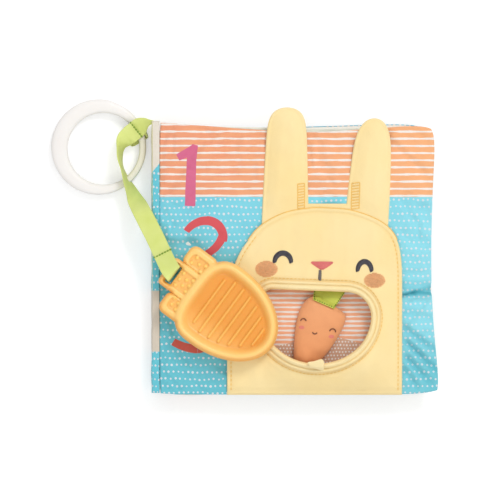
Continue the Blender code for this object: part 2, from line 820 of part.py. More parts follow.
def build_ring_ribbon():
    """The ribbon from the spine round the ring's rim and back, with its row of stitches."""
    turn = loop_turn_deg()
    thickest = ring_hole_radius - math.hypot(ring_hole_shift_x, ring_hole_shift_y)
    inside = thickest - loop_inner_clearance
    outside = ring_radius + loop_outer_clearance
    outer_face = spine_wall_x - spine_fabric_thickness / 2 - touch_gap
    lead = ribbon_width / 2 * math.sin(math.radians(turn))
    start = (outer_face - ring_x - lead) / math.cos(math.radians(turn))
    bend = ribbon_thickness
    middle_z = (loop_top_z + loop_bottom_z) / 2
    tail_z = loop_top_z - ribbon_thickness - touch_gap
    route = [
        (start, loop_top_z), (outside - bend, loop_top_z), (thickest + bend, loop_top_z),
        (inside + bend / 2, loop_top_z - bend / 2), (inside, middle_z),
        (inside + bend / 2, loop_bottom_z + bend / 2), (thickest + bend, loop_bottom_z),
        (outside - bend, loop_bottom_z), (outside + bend / 3, middle_z - bend),
        (outside + bend, tail_z),
    ]
    points = [ring_place(radius, turn, z) for radius, z in route]
    across = Vector((-math.sin(math.radians(turn)), math.cos(math.radians(turn)), 0.0))
    add_piece("ring_ribbon", ribbon(points, [across] * len(points), ribbon_width,
                                    ribbon_thickness, 3), (0.62, 0.76, 0.20))


def teether_matrix():
    """Local axes of the teether: u along it to the tip, w across, the pivot on its end bar."""
    turn = Matrix.Rotation(math.radians(teether_turn_deg), 4, "Z")
    pitch = Matrix.Rotation(-math.radians(teether_pitch_deg), 4, "Y")
    centre = Matrix.Translation((teether_x, teether_y, cover_top_z - panel_edge_half
                                 + teether_lift))
    pivot = Matrix.Translation((teether_pivot_u(), 0.0, 0.0))
    return centre @ turn @ pivot @ pitch @ pivot.inverted()


def teether_pivot_u():
    return (teether_end_u + slot_start_u) / 2


def teether_body_outline(grow, steps=14):
    """Egg outline of the carrot: a long round tip and a blunter crown end."""
    points = []
    for step in range(2 * steps):
        turn = math.pi * step / steps
        cos, sin = math.cos(turn), math.sin(turn)
        if cos >= 0:
            reach, power = teether_tip_reach, 1.0
        else:
            reach, power = teether_crown_reach, 2 / 3
        points.append((teether_widest_u + math.copysign(abs(cos) ** power, cos) * (reach + grow),
                       math.copysign(abs(sin) ** power, sin) * (teether_body_half_width + grow)))
    return points


def soften(piece, width):
    """Round a piece's rim."""
    step = piece.modifiers.new("rounding", "BEVEL")
    step.width = width
    step.segments = 2
    step.limit_method = "ANGLE"
    step.angle_limit = math.radians(60)


def build_teether(parent):
    """One moulded carrot: body with a ribbed recess, three leaves, a slot for the ribbon."""
    place = teether_matrix()
    height = teether_body_thickness

    def shaped(name, outline, low, high, piece=False):
        bm = prism(outline, low, high)
        bmesh.ops.recalc_face_normals(bm, faces=bm.faces)
        bmesh.ops.transform(bm, matrix=place, verts=bm.verts)
        if piece:
            return add_piece(name, bm, (0.95, 0.47, 0.13), 0.4, parent)
        return add_cutter(name, bm)

    body = shaped("carrot_teether", teether_body_outline(0.0), 0.0, height, True)
    soften(body, teether_rounding)
    lift = (height - teether_leaf_thickness) / 3
    top = lift + teether_leaf_thickness
    half = teether_leaf_half_width
    root = teether_leaf_root_u
    end = teether_end_u
    corner = half / 4
    leaf_points = [(root, -half), (end + corner, -half), (end, corner - half),
                   (end, half - corner), (end + corner, half), (root, half)]
    middle_leaf = shaped("teether_middle_leaf", leaf_points, lift, top)
    soften(middle_leaf, teether_rounding / 2)
    boolean(body, middle_leaf, "UNION")
    for side in (1, -1):
        points = ellipse(side_leaf_u, side * side_leaf_w, 2 * side_leaf_reach_u,
                         2 * side_leaf_reach_w, 16)
        side_leaf = shaped(f"teether_side_leaf_{'upper' if side > 0 else 'lower'}", points,
                           lift, top)
        soften(side_leaf, teether_rounding / 2)
        boolean(body, side_leaf, "UNION")
    slot = [(slot_start_u, -slot_half_width), (slot_end_u, -slot_half_width),
            (slot_end_u, slot_half_width), (slot_start_u, slot_half_width)]
    boolean(body, shaped("teether_slot", slot, -cut_overrun, height + cut_overrun), "DIFFERENCE")
    floor = height - recess_depth
    recess = ellipse(recess_u, 0.0, 2 * recess_half_length, 2 * recess_half_width, 28)
    boolean(body, shaped("teether_recess", recess, floor, height + cut_overrun), "DIFFERENCE")
    for index in range(rib_count):
        rib_u = rib_start_u + rib_step * index
        reach = math.sqrt(1 - ((rib_u - recess_u) / recess_half_length) ** 2)
        half_rib = recess_half_width * reach - rib_width
        rib = [(rib_u - rib_width / 2, -half_rib), (rib_u + rib_width / 2, -half_rib),
               (rib_u + rib_width / 2, half_rib), (rib_u - rib_width / 2, half_rib)]
        boolean(body, shaped(f"teether_rib_{index}", rib, floor - rib_height / 2,
                             floor + rib_height), "UNION")


def build_strap():
    """The long ribbon: off the ring's loop, through the ring, over the spine to the teether."""
    place = teether_matrix()
    bar_u = teether_pivot_u()
    slot_u = (slot_start_u + slot_end_u) / 2
    half = ribbon_thickness / 2
    lift = (teether_body_thickness - teether_leaf_thickness) / 3
    over = lift + teether_leaf_thickness + touch_gap + half
    under = lift - touch_gap - half
    on_loop = loop_top_z + ribbon_thickness + touch_gap
    stack = cover_top_z
    near_ring = [
        (0.785, 0.396, on_loop), (0.628, 0.320, on_loop), (0.430, 0.215, on_loop + half),
        (0.390, -0.060, stack * 0.38), (0.430, -0.250, stack * 0.38), (0.490, -0.508, stack * 0.62),
        (0.617, -0.800, stack * 0.62), (0.804, -1.159, stack * 0.80),
    ]
    points = [Vector((ring_x + a * ring_radius, ring_y + b * ring_radius, z))
              for a, b, z in near_ring]
    bar_top = place @ Vector((bar_u - half, 0.0, over))
    before_bar = place @ Vector((2 * teether_end_u - slot_start_u, 0.0, over + half))
    spine_top = stack + ribbon_thickness + touch_gap * 3
    for share in (0.32, 0.66):
        between = points[-1 if share < 0.5 else -2].lerp(before_bar, share)
        points.append(Vector((between.x, between.y, spine_top)))
    slot_top = place @ Vector((slot_u - half / 2, 0.0, over - half))
    slot_middle = place @ Vector((slot_u, 0.0, (over + under) / 2))
    slot_bottom = place @ Vector((slot_u - half / 2, 0.0, under + half))
    bar_bottom = place @ Vector((bar_u, 0.0, under))
    tail = place @ Vector((2 * teether_end_u - slot_start_u, 0.0, under))
    points += [before_bar, bar_top, slot_top, slot_middle, slot_bottom, bar_bottom, tail]
    flat = Vector((0.0, 0.0, 1.0))
    bar = place.to_3x3() @ Vector((0.0, 1.0, 0.0))
    on_wall = Vector((-0.33, 0.94, 0.0))
    sides = [on_wall, on_wall, on_wall, flat, flat, Vector((0.6, 0.2, 0.8)),
             Vector((0.85, 0.45, 0.3)), Vector((0.88, 0.47, 0.0)), Vector((0.88, 0.47, 0.0)),
             Vector((0.88, 0.47, 0.0)), bar, bar, bar, bar, bar, bar, bar]
    add_piece("ribbon_strap", ribbon(points, sides, ribbon_width, ribbon_thickness, 3),
              (0.62, 0.76, 0.20))


def build_book():
    """Every piece of the book on the body that it moves with."""
    leaf_body = joint_empty("leaf_hinge", spine_hinge_x, 0.0, spine_hinge_z)
    front_body = joint_empty("cover_hinge", spine_hinge_x, 0.0, spine_hinge_z)
    carrot_body = joint_empty("carrot_pivot", carrot_swing_x, carrot_swing_y, carrot_seam_z())
    ring_body = joint_empty("ring_middle", ring_x, ring_y, ring_bottom_z)
    pivot = teether_matrix() @ Vector((teether_pivot_u(), 0.0, teether_body_thickness / 2))
    teether_body = joint_empty("teether_pivot", *pivot)
    build_pages(leaf_body, front_body)
    build_spine()
    head = build_pouch(front_body)
    build_face(front_body)
    ears = (("left", left_ear_x, left_ear_width, left_ear_tip_y, left_ear_lean),
            ("right", right_ear_x, right_ear_width, right_ear_tip_y, right_ear_lean))
    for side, middle_x, width, tip_y, lean in ears:
        fold = joint_empty(f"{side}_ear_fold", middle_x, ear_fold_y, ear_top_z)
        build_ear(side, middle_x, width, tip_y, lean, head, front_body, fold)
    build_carrot(carrot_body)
    build_ring(ring_body)
    build_ring_ribbon()
    build_teether(teether_body)
    build_strap()
    print("teether pivot", [round(value / MM, 2) for value in pivot])
    print("heights", [round(value / MM, 2) for value in (leaf_base, front_base, cover_top_z,
                                                        ear_top_z, ring_bottom_z, ring_top_z,
                                                        loop_top_z, carrot_seam_z())])


build_book()
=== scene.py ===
# %% [markdown]
# # A crinkle cloth book, built in Blender
#
# Three padded pages are sewn to a cloth spine. The front page carries a rabbit pouch with a stuffed
# carrot in it, and a ring and a moulded teether hang from the spine on ribbon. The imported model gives
# the bodies and their joints. This lesson makes the cloth, thread and moulded pieces that are seen.

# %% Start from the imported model
import json
import math

import bpy
import numpy as np
from mathutils import Matrix, Vector
from mathutils.geometry import delaunay_2d_cdt

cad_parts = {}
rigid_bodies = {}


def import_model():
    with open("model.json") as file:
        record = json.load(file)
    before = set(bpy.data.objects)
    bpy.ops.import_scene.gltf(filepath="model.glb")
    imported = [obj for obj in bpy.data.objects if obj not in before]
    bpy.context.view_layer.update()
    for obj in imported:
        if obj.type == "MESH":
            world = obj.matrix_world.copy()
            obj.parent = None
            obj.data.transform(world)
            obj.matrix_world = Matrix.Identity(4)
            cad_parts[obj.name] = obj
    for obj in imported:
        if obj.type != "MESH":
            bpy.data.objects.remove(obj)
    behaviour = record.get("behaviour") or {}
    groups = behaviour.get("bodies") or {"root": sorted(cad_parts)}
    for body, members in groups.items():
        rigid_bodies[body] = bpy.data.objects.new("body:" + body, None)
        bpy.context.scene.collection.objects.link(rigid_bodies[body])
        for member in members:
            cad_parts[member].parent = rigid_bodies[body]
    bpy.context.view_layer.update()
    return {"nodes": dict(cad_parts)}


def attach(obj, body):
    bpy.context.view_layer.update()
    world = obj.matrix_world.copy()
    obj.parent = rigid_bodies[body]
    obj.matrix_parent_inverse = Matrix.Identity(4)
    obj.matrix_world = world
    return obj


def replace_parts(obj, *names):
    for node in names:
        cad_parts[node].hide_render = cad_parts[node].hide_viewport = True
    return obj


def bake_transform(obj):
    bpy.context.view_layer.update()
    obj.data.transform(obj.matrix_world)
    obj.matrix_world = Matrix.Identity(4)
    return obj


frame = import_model()
MM = 0.001

# %% [markdown]
# ## Camera
#
# The book is seen from straight above. A long lens from two metres away keeps the pages free of
# perspective, as in a catalogue photograph.

# %% Camera straight above
view_width = 280 * MM
view_middle = Vector((-25.2 * MM, 4.8 * MM, 20 * MM))
camera_height = 2.0
lens_data = bpy.data.cameras.new("camera")
lens_data.lens = lens_data.sensor_width * camera_height / view_width
lens_data.clip_end = 10
camera = bpy.data.objects.new("camera", lens_data)
camera.location = view_middle + Vector((0, 0, camera_height))
bpy.context.scene.collection.objects.link(camera)
bpy.context.scene.camera = camera
print("lens", round(lens_data.lens, 1))

# %% [markdown]
# ## Light
#
# A soft lamp beyond the upper right shapes the cloth, and a weaker one lightens the slopes that face
# away from it. An even white sky fills the rest, so every colour renders about as it is written.

# %% Lamps and sky
sky = bpy.data.worlds.new("sky")
sky.use_nodes = True
sky.node_tree.nodes["Background"].inputs["Color"].default_value = (1, 1, 1, 1)
sky.node_tree.nodes["Background"].inputs["Strength"].default_value = 0.74
bpy.context.scene.world = sky
bpy.context.scene.view_settings.view_transform = "Standard"


def add_lamp(name, place, size, power):
    """A square soft lamp that points at the middle of the book."""
    data = bpy.data.lights.new(name, "AREA")
    data.size, data.energy = size, power
    lamp = bpy.data.objects.new(name, data)
    lamp.location = place
    lamp.rotation_euler = (view_middle - Vector(place)).to_track_quat("-Z", "Y").to_euler()
    bpy.context.scene.collection.objects.link(lamp)
    return lamp


add_lamp("window_light", (0.5, 0.95, 1.2), 0.45, 9.8)
add_lamp("lower_fill", (-0.1, -1.1, 1.1), 0.8, 5.2)

# %% [markdown]
# ## Wiring helper
#
# Shader nodes are wired in many small steps. A helper that makes a node, sets its sockets and hands
# back its output keeps each material readable.


# %% Wiring helper
class Wires:
    """Makes and links the nodes of one tree."""

    def __init__(self, tree):
        self.tree = tree

    def node(self, kind, inputs=None, **settings):
        made = self.tree.nodes.new(kind)
        for key, value in settings.items():
            setattr(made, key, value)
        for key, value in (inputs or {}).items():
            if isinstance(value, bpy.types.NodeSocket):
                self.tree.links.new(value, made.inputs[key])
            else:
                made.inputs[key].default_value = value
        return made

    def math(self, operation, *values, clamp=False):
        inputs = dict(enumerate(values))
        return self.node("ShaderNodeMath", inputs, operation=operation, use_clamp=clamp).outputs[0]

    def axes(self, vector):
        return self.node("ShaderNodeSeparateXYZ", {0: vector}).outputs

    def noise(self, vector, size, detail=2.0):
        """A soft random value from 0 to 1 whose lumps are about that size."""
        made = self.node("ShaderNodeTexNoise", {"Vector": vector, "Scale": 1 / size,
                                                "Detail": detail})
        return made.outputs["Fac"]

    def mix(self, share, first, second):
        made = self.node("ShaderNodeMix", data_type="RGBA")
        for key, value in ((0, share), (6, first), (7, second)):
            if isinstance(value, bpy.types.NodeSocket):
                self.tree.links.new(value, made.inputs[key])
            else:
                made.inputs[key].default_value = value
        return made.outputs[2]

    def band(self, value, low, high):
        """From 1 below low to 0 above high."""
        made = self.node("ShaderNodeMapRange", {"Value": value, "From Min": low,
                                                "From Max": high, "To Min": 1.0, "To Max": 0.0})
        return made.outputs[0]

    def group(self, tree, inputs):
        made = self.node("ShaderNodeGroup")
        made.node_tree = tree
        for key, value in inputs.items():
            if isinstance(value, bpy.types.NodeSocket):
                self.tree.links.new(value, made.inputs[key])
            else:
                made.inputs[key].default_value = value
        return made.outputs


def new_group(name, inputs, outputs):
    """An empty shader group with named sockets, and the wires to fill it."""
    tree = bpy.data.node_groups.new(name, "ShaderNodeTree")
    for label, value in inputs.items():
        kind = "NodeSocketVector" if isinstance(value, tuple) else "NodeSocketFloat"
        socket = tree.interface.new_socket(label, in_out="INPUT", socket_type=kind)
        socket.default_value = value
    for label in outputs:
        tree.interface.new_socket(label, in_out="OUTPUT", socket_type="NodeSocketFloat")
    wires = Wires(tree)
    return tree, wires, wires.node("NodeGroupInput").outputs, wires.node("NodeGroupOutput").inputs


def put(wires, source, target):
    """Link a value to a group's output."""
    wires.tree.links.new(source, target)


def screen(red, green, blue):
    """A colour as seen on screen, 0 to 255, as the linear value that shaders use."""
    shares = [value / 255 for value in (red, green, blue)]
    return tuple(s / 12.92 if s <= 0.04045 else ((s + 0.055) / 1.055) ** 2.4 for s in shares) + (1.0,)


# %% [markdown]
# ## Woven cloth
#
# Cotton cloth is a plain weave: warp and weft threads pass over each other in turn. Two sine waves
# make the threads, and the sign of their product says which one lies on top. Every cloth uses this
# group with its own thread size.

# %% Weave group
weave, wires, given, result = new_group(
    "plain weave", {"Coordinates": (0.0, 0.0, 0.0), "Thread": 0.3 * MM, "Fuzz": 0.3},
    ("Height", "Shade"))
x, y, z = wires.axes(given["Coordinates"])
along_x = wires.math("DIVIDE", wires.math("MULTIPLY_ADD", z, 0.7, x), given["Thread"])
along_y = wires.math("DIVIDE", wires.math("MULTIPLY_ADD", z, 0.7, y), given["Thread"])
wave_x = wires.math("SINE", wires.math("MULTIPLY", along_x, math.pi))
wave_y = wires.math("SINE", wires.math("MULTIPLY", along_y, math.pi))
over = wires.math("GREATER_THAN", wires.math("MULTIPLY", wave_x, wave_y), 0.0)
on_top = wires.math("ABSOLUTE", wave_x)
beneath = wires.math("ABSOLUTE", wave_y)
threads = wires.math("ADD", wires.math("MULTIPLY", over, on_top),
                     wires.math("MULTIPLY", wires.math("SUBTRACT", 1.0, over), beneath))
slub = wires.noise(given["Coordinates"], 0.9 * MM, 3.0)
fibres = wires.math("MULTIPLY", slub, given["Fuzz"])
height = wires.math("ADD", threads, fibres)
put(wires, height, result["Height"])
put(wires, wires.math("MULTIPLY_ADD", height, 0.09, 0.90), result["Shade"])

# %% [markdown]
# ## Dye and handling
#
# Printed cloth is never one even colour. A slow noise and a fine one give the dye its small
# differences, and the same group serves cloth, thread and moulded parts.

# %% Tint group
tint, wires, given, result = new_group(
    "uneven tint", {"Coordinates": (0.0, 0.0, 0.0), "Patch": 14 * MM, "Amount": 0.06}, ("Tint",))
slow = wires.noise(given["Coordinates"], 1.0)
wires.tree.links.remove(wires.tree.links[-1])
scaled = wires.node("ShaderNodeVectorMath", {0: given["Coordinates"]}, operation="SCALE")
put(wires, wires.math("DIVIDE", 1.0, given["Patch"]), scaled.inputs["Scale"])
slow = wires.noise(scaled.outputs[0], 1.0, 2.0)
fine = wires.noise(given["Coordinates"], 0.6 * MM, 2.0)
both = wires.math("ADD", wires.math("MULTIPLY", slow, 0.7), wires.math("MULTIPLY", fine, 0.3))
centred = wires.math("MULTIPLY", wires.math("SUBTRACT", both, 0.5), 2.0)
put(wires, wires.math("MULTIPLY_ADD", centred, given["Amount"], 1.0), result["Tint"])

# %% [markdown]
# ## Printed stripes and dots
#
# Hand-drawn stripes wobble in place and in width. Hand-drawn dots stand in rows and are each a
# little off their place. Both are masks, so that the same group can print in any colour.

# %% Stripe group
stripes, wires, given, result = new_group(
    "drawn stripes", {"Coordinates": (0.0, 0.0, 0.0), "Pitch": 4 * MM, "Line": 0.27,
                      "Wobble": 0.3 * MM, "Start": 0.0}, ("Mask",))
x, y, z = wires.axes(given["Coordinates"])
sway = wires.math("SUBTRACT", wires.noise(given["Coordinates"], 16 * MM, 1.0), 0.5)
moved = wires.math("ADD", wires.math("SUBTRACT", y, given["Start"]),
                   wires.math("MULTIPLY", sway, wires.math("MULTIPLY", given["Wobble"], 2.4)))
phase = wires.math("FRACT", wires.math("DIVIDE", moved, given["Pitch"]))
off_line = wires.math("ABSOLUTE", wires.math("SUBTRACT", phase, 0.5))
swell = wires.math("SUBTRACT", wires.noise(given["Coordinates"], 5 * MM, 1.0), 0.5)
half_line = wires.math("MULTIPLY", given["Line"], wires.math("MULTIPLY_ADD", swell, 0.7, 0.5))
put(wires, wires.band(wires.math("SUBTRACT", off_line, half_line), -0.02, 0.02), result["Mask"])

# %% Dot group
dots, wires, given, result = new_group(
    "drawn dots", {"Coordinates": (0.0, 0.0, 0.0), "Column": 2.7 * MM, "Row": 3.85 * MM,
                   "Radius": 0.55 * MM, "Jitter": 0.16}, ("Mask",))
x, y, z = wires.axes(given["Coordinates"])
row = wires.math("DIVIDE", y, given["Row"])
sway = wires.math("MULTIPLY", wires.math("SUBTRACT", wires.noise(given["Coordinates"], 22 * MM, 1.0),
                                         0.5), 0.7)
row = wires.math("ADD", row, sway)
row_number = wires.math("FLOOR", row)
column = wires.math("ADD", wires.math("DIVIDE", x, given["Column"]),
                    wires.math("MULTIPLY", row_number, 0.37))
cell = wires.node("ShaderNodeCombineXYZ", {0: wires.math("FLOOR", column), 1: row_number}).outputs[0]
chance = wires.node("ShaderNodeTexWhiteNoise", {"Vector": cell}, noise_dimensions="2D")
shift_x, shift_y, size = wires.axes(chance.outputs["Color"])
near_x = wires.math("SUBTRACT", wires.math("FRACT", column), 0.5)
near_y = wires.math("SUBTRACT", wires.math("FRACT", row), 0.5)
off_x = wires.math("ADD", near_x, wires.math("MULTIPLY", wires.math("SUBTRACT", shift_x, 0.5),
                                             given["Jitter"]))
off_y = wires.math("ADD", near_y, wires.math("MULTIPLY", wires.math("SUBTRACT", shift_y, 0.5),
                                             given["Jitter"]))
gap_x = wires.math("MULTIPLY", off_x, given["Column"])
gap_y = wires.math("MULTIPLY", off_y, given["Row"])
gap = wires.math("SQRT", wires.math("ADD", wires.math("MULTIPLY", gap_x, gap_x),
                                    wires.math("MULTIPLY", gap_y, gap_y)))
reach = wires.math("MULTIPLY", given["Radius"], wires.math("MULTIPLY_ADD", size, 0.35, 0.82))
put(wires, wires.band(wires.math("DIVIDE", gap, reach), 0.9, 1.1), result["Mask"])

# %% [markdown]
# ## Printed strokes
#
# The numerals are brush strokes with square ends that widen or narrow along their way: straight ones,
# and ones that follow a piece of a circle. Each group gives the distance outside its stroke, so the
# smallest of several distances makes the whole figure.

# %% Stroke groups
AT = {"Coordinates": (0.0, 0.0, 0.0)}
ENDS = {"Start width": 5 * MM, "End width": 5 * MM}


def vector_math(wires, operation, *values):
    made = wires.node("ShaderNodeVectorMath", operation=operation)
    for index, value in enumerate(values):
        if isinstance(value, bpy.types.NodeSocket):
            wires.tree.links.new(value, made.inputs[index])
        else:
            made.inputs[index].default_value = value
    return made


def stroke_edge(wires, given, result, sideways, lengthways, share, half_length):
    """Distance outside a stroke, from the distances to its middle line and to its middle."""
    width = wires.math("ADD", given["Start width"], wires.math(
        "MULTIPLY", wires.math("SUBTRACT", given["End width"], given["Start width"]), share))
    beside = wires.math("SUBTRACT", sideways, wires.math("MULTIPLY", width, 0.5))
    beyond = wires.math("SUBTRACT", lengthways, half_length)
    outside = wires.math("SMOOTH_MAX", beside, beyond, 0.8 * MM)
    wires.tree.links.new(outside, result["Outside"])


stroke, wires, given, result = new_group(
    "straight stroke", {**AT, "Start": (0.0, 0.0, 0.0), "End": (0.0, 0.0, 0.0), **ENDS},
    ("Outside",))
flat = vector_math(wires, "MULTIPLY", given["Coordinates"], (1, 1, 0)).outputs[0]
offset = vector_math(wires, "SUBTRACT", flat, given["Start"]).outputs[0]
span = vector_math(wires, "SUBTRACT", given["End"], given["Start"]).outputs[0]
length = vector_math(wires, "LENGTH", span).outputs["Value"]
along = vector_math(wires, "NORMALIZE", span).outputs[0]
reach = vector_math(wires, "DOT_PRODUCT", offset, along).outputs["Value"]
across = vector_math(wires, "LENGTH", vector_math(wires, "CROSS_PRODUCT", offset,
                                                 along).outputs[0]).outputs["Value"]
half_length = wires.math("MULTIPLY", length, 0.5)
from_middle = wires.math("ABSOLUTE", wires.math("SUBTRACT", reach, half_length))
share = wires.math("DIVIDE", reach, length, clamp=True)
stroke_edge(wires, given, result, across, from_middle, share, half_length)

bend, wires, given, result = new_group(
    "bent stroke", {**AT, "Centre": (0.0, 0.0, 0.0), "Radius": 5 * MM, "Middle": 0.0,
                    "Half sweep": 1.0, **ENDS}, ("Outside",))
flat = vector_math(wires, "MULTIPLY", given["Coordinates"], (1, 1, 0)).outputs[0]
offset = vector_math(wires, "SUBTRACT", flat, given["Centre"]).outputs[0]
x, y, z = wires.axes(offset)
turn = wires.math("SUBTRACT", wires.math("ARCTAN2", y, x), given["Middle"])
turn = wires.math("WRAP", turn, math.pi, -math.pi)
around = vector_math(wires, "LENGTH", offset).outputs["Value"]
across = wires.math("ABSOLUTE", wires.math("SUBTRACT", around, given["Radius"]))
from_middle = wires.math("MULTIPLY", wires.math("ABSOLUTE", turn), given["Radius"])
half_length = wires.math("MULTIPLY", given["Half sweep"], given["Radius"])
share = wires.math("MULTIPLY_ADD", wires.math("DIVIDE", turn, given["Half sweep"]), 0.5, 0.5,
                   clamp=True)
stroke_edge(wires, given, result, across, from_middle, share, half_length)
print("shader groups", [tree.name for tree in (weave, tint, stripes, dots, stroke, bend)])

# %% [markdown]
# ## Cloth materials
#
# Each cloth takes a printed colour, the weave's shade and the uneven tint, and puts the weave's
# height into a bump. A little sheen stands for the fibres that stand off the cloth.


# %% Material helpers
def new_material(name, roughness=0.85, sheen=0.0, **settings):
    made = bpy.data.materials.new(name)
    made.use_nodes = True
    shader = made.node_tree.nodes["Principled BSDF"]
    shader.inputs["Roughness"].default_value = roughness
    shader.inputs["Sheen Weight"].default_value = sheen
    shader.inputs["Sheen Roughness"].default_value = 0.4
    for label, value in settings.items():
        shader.inputs[label].default_value = value
    return made, Wires(made.node_tree), shader


def finish_surface(wires, shader, colour, height, depth):
    """Colour and bump into the shader."""
    wires.tree.links.new(colour, shader.inputs["Base Color"])
    bump = wires.node("ShaderNodeBump", {"Height": height, "Distance": depth, "Strength": 1.0})
    wires.tree.links.new(bump.outputs[0], shader.inputs["Normal"])


def tinted(wires, colour, *shades):
    """The colour, darker or lighter by each shade."""
    for shade in shades:
        made = wires.node("ShaderNodeVectorMath", {0: colour}, operation="SCALE")
        wires.tree.links.new(shade, made.inputs["Scale"])
        colour = made.outputs[0]
    return colour


def cloth(name, prints, thread=0.34 * MM, depth=0.05 * MM, sheen=0.12, roughness=0.86):
    """A woven cloth; prints(wires, place) gives its colour at a place."""
    made, wires, shader = new_material(name, roughness, sheen)
    place = wires.node("ShaderNodeTexCoord").outputs["Object"]
    woven = wires.group(weave, {"Coordinates": place, "Thread": thread})
    dye = wires.group(tint, {"Coordinates": place, "Amount": 0.05})
    colour = tinted(wires, prints(wires, place), woven["Shade"], dye["Tint"])
    finish_surface(wires, shader, colour, woven["Height"], depth)
    return made


def plain(colour, second=None):
    """A print of one colour that drifts a little towards a second one."""
    second = second or tuple(c * 0.93 for c in colour[:3]) + (1.0,)

    def prints(wires, place):
        drift = wires.noise(place, 30 * MM, 2.0)
        return wires.mix(wires.math("MULTIPLY_ADD", drift, 2.0, -0.5, clamp=True), colour, second)
    return prints


def dotted(ground, mark, column=2.9 * MM, row=3.85 * MM, radius=0.62 * MM):
    def prints(wires, place):
        mask = wires.group(dots, {"Coordinates": place, "Column": column, "Row": row,
                                  "Radius": radius})["Mask"]
        return wires.mix(mask, plain(ground)(wires, place), mark)
    return prints


def striped(ground, mark, pitch=4 * MM, line=0.27, start=0.0):
    def prints(wires, place):
        mask = wires.group(stripes, {"Coordinates": place, "Pitch": pitch, "Line": line,
                                     "Start": start})["Mask"]
        return wires.mix(mask, plain(ground)(wires, place), mark)
    return prints


# %% [markdown]
# ## The front cover's print
#
# Orange stripes above, blue with dots below, and the numerals 1, 2 and 3 down the left side. Each
# numeral is a few strokes, and the smallest distance to any of them makes the whole figure.

# %% Front cover cloth
stripe_end_y = 34.7 * MM
orange_print = screen(236, 156, 119)
orange_light = screen(243, 176, 124)
blue_print = screen(108, 200, 220)
blue_light = screen(142, 220, 234)
# Colours of the painted shade and painted light on the blue.
blue_painted_shade, blue_painted_light = screen(98, 190, 204), screen(156, 224, 235)
# Colour of the painted shade in the cover's folds.
blue_fold_shade = screen(52, 166, 182)
cream_mark = screen(242, 234, 226)
dot_mark = screen(220, 225, 230)
numerals = [
    (screen(216, 106, 142), [("straight", -58.8, 29.4, -57.9, 57.0, 6.0, 5.3),
                             ("straight", -57.8, 56.4, -56.0, 63.8, 5.5, 3.3),
                             ("straight", -65.7, 56.6, -56.6, 61.2, 3.9, 5.4)]),
    (screen(216, 86, 92), [("bent", -49.7, 7.8, 13.4, 116.6, 29.5, 5.1, 3.7),
                           ("bent", -49.6, 12.0, 9.3, 38.0, 52.0, 5.0, 5.1),
                           ("bent", -57.2, 18.4, 17.6, -39.5, 21.5, 4.0, 4.9),
                           ("straight", -48.0, 3.4, -60.5, -8.0, 4.6, 4.6),
                           ("straight", -62.0, -8.6, -41.0, -8.0, 4.8, 4.8)]),
    (screen(206, 92, 78), [("bent", -54.7, -25.1, 25.4, -106.0, 16.3, 4.2, 5.2),
                           ("bent", -54.5, -41.5, 9.0, 5.0, 95.0, 5.0, 5.0),
                           ("bent", -56.5, -24.5, 8.2, 35.0, 115.0, 5.0, 5.0)]),
]


def figure(wires, place, parts):
    """Distance outside a numeral that is made of several strokes; lengths in mm."""
    nearest = None
    for kind, *sizes, start_width, end_width in parts:
        widths = {"Coordinates": place, "Start width": start_width * MM,
                  "End width": end_width * MM}
        if kind == "straight":
            start_x, start_y, end_x, end_y = (size * MM for size in sizes)
            gap = wires.group(stroke, {**widths, "Start": (start_x, start_y, 0),
                                       "End": (end_x, end_y, 0)})["Outside"]
        else:
            centre_x, centre_y, radius, middle, half_sweep = sizes
            gap = wires.group(bend, {**widths, "Centre": (centre_x * MM, centre_y * MM, 0),
                                     "Radius": radius * MM, "Middle": math.radians(middle),
                                     "Half sweep": math.radians(half_sweep)})["Outside"]
        nearest = gap if nearest is None else wires.math("MINIMUM", nearest, gap)
    return nearest


def cover_print(wires, place):
    x, y, z = wires.axes(place)
    across = wires.band(x, -76 * MM, 76 * MM)
    streaks = wires.node("ShaderNodeCombineXYZ", {0: wires.math("MULTIPLY", x, 0.1), 1: y}).outputs[0]
    across = wires.math("MULTIPLY", across, wires.noise(streaks, 1.6 * MM, 2.0))
    orange = wires.mix(wires.math("MULTIPLY", across, 2.0), orange_light, orange_print)
    lines = wires.group(stripes, {"Coordinates": place, "Start": stripe_end_y - 1.5 * MM})["Mask"]
    upper = wires.mix(lines, orange, cream_mark)
    blue = wires.mix(wires.noise(place, 26 * MM, 2.0), blue_print, blue_light)
    # Painted shade darkens the blue towards the lower left and low on the right, and painted light makes
    # it paler towards the right edge.
    corner = wires.band(wires.math("ADD", x, y), -130 * MM, -10 * MM)
    blue = wires.mix(wires.math("MULTIPLY", corner, 0.8), blue, blue_painted_shade)
    painted_light_right = wires.band(x, 84 * MM, 40 * MM)
    blue = wires.mix(wires.math("MULTIPLY", painted_light_right, 0.8), blue, blue_painted_light)
    painted_shade_low_right = wires.math("MULTIPLY", painted_light_right, wires.band(y, -62 * MM, -34 * MM))
    blue = wires.mix(wires.math("MULTIPLY", painted_shade_low_right, 0.9), blue, blue_painted_shade)
    spots = wires.group(dots, {"Coordinates": place, "Radius": 0.58 * MM})["Mask"]
    lower = wires.mix(spots, blue, dot_mark)
    # Painted shade in the folds, from the piece's "fold" attribute.
    fold = wires.node("ShaderNodeAttribute", attribute_name="fold").outputs["Fac"]
    lower = wires.mix(wires.math("MULTIPLY", fold, 0.75), lower, blue_fold_shade)
    edge = wires.math("ADD", y, wires.math("MULTIPLY", wires.noise(place, 18 * MM, 1.0), 0.6 * MM))
    colour = wires.mix(wires.band(edge, stripe_end_y, stripe_end_y + 0.3 * MM), upper, lower)
    for ink, parts in numerals:
        rough = wires.math("MULTIPLY_ADD", wires.noise(place, 3 * MM, 1.0), 0.3 * MM, -0.15 * MM)
        outside = wires.math("ADD", figure(wires, place, parts), rough)
        colour = wires.mix(wires.band(outside, -0.1 * MM, 0.1 * MM), colour, ink)
    return colour


cover_cloth = cloth("cover_cloth", cover_print)

# %% [markdown]
# ## The other cloths
#
# The pages that the photograph doesn't show get plain dots and stripes in the book's own colours.
# The pouch's lining is striped above and has dotted hills below.

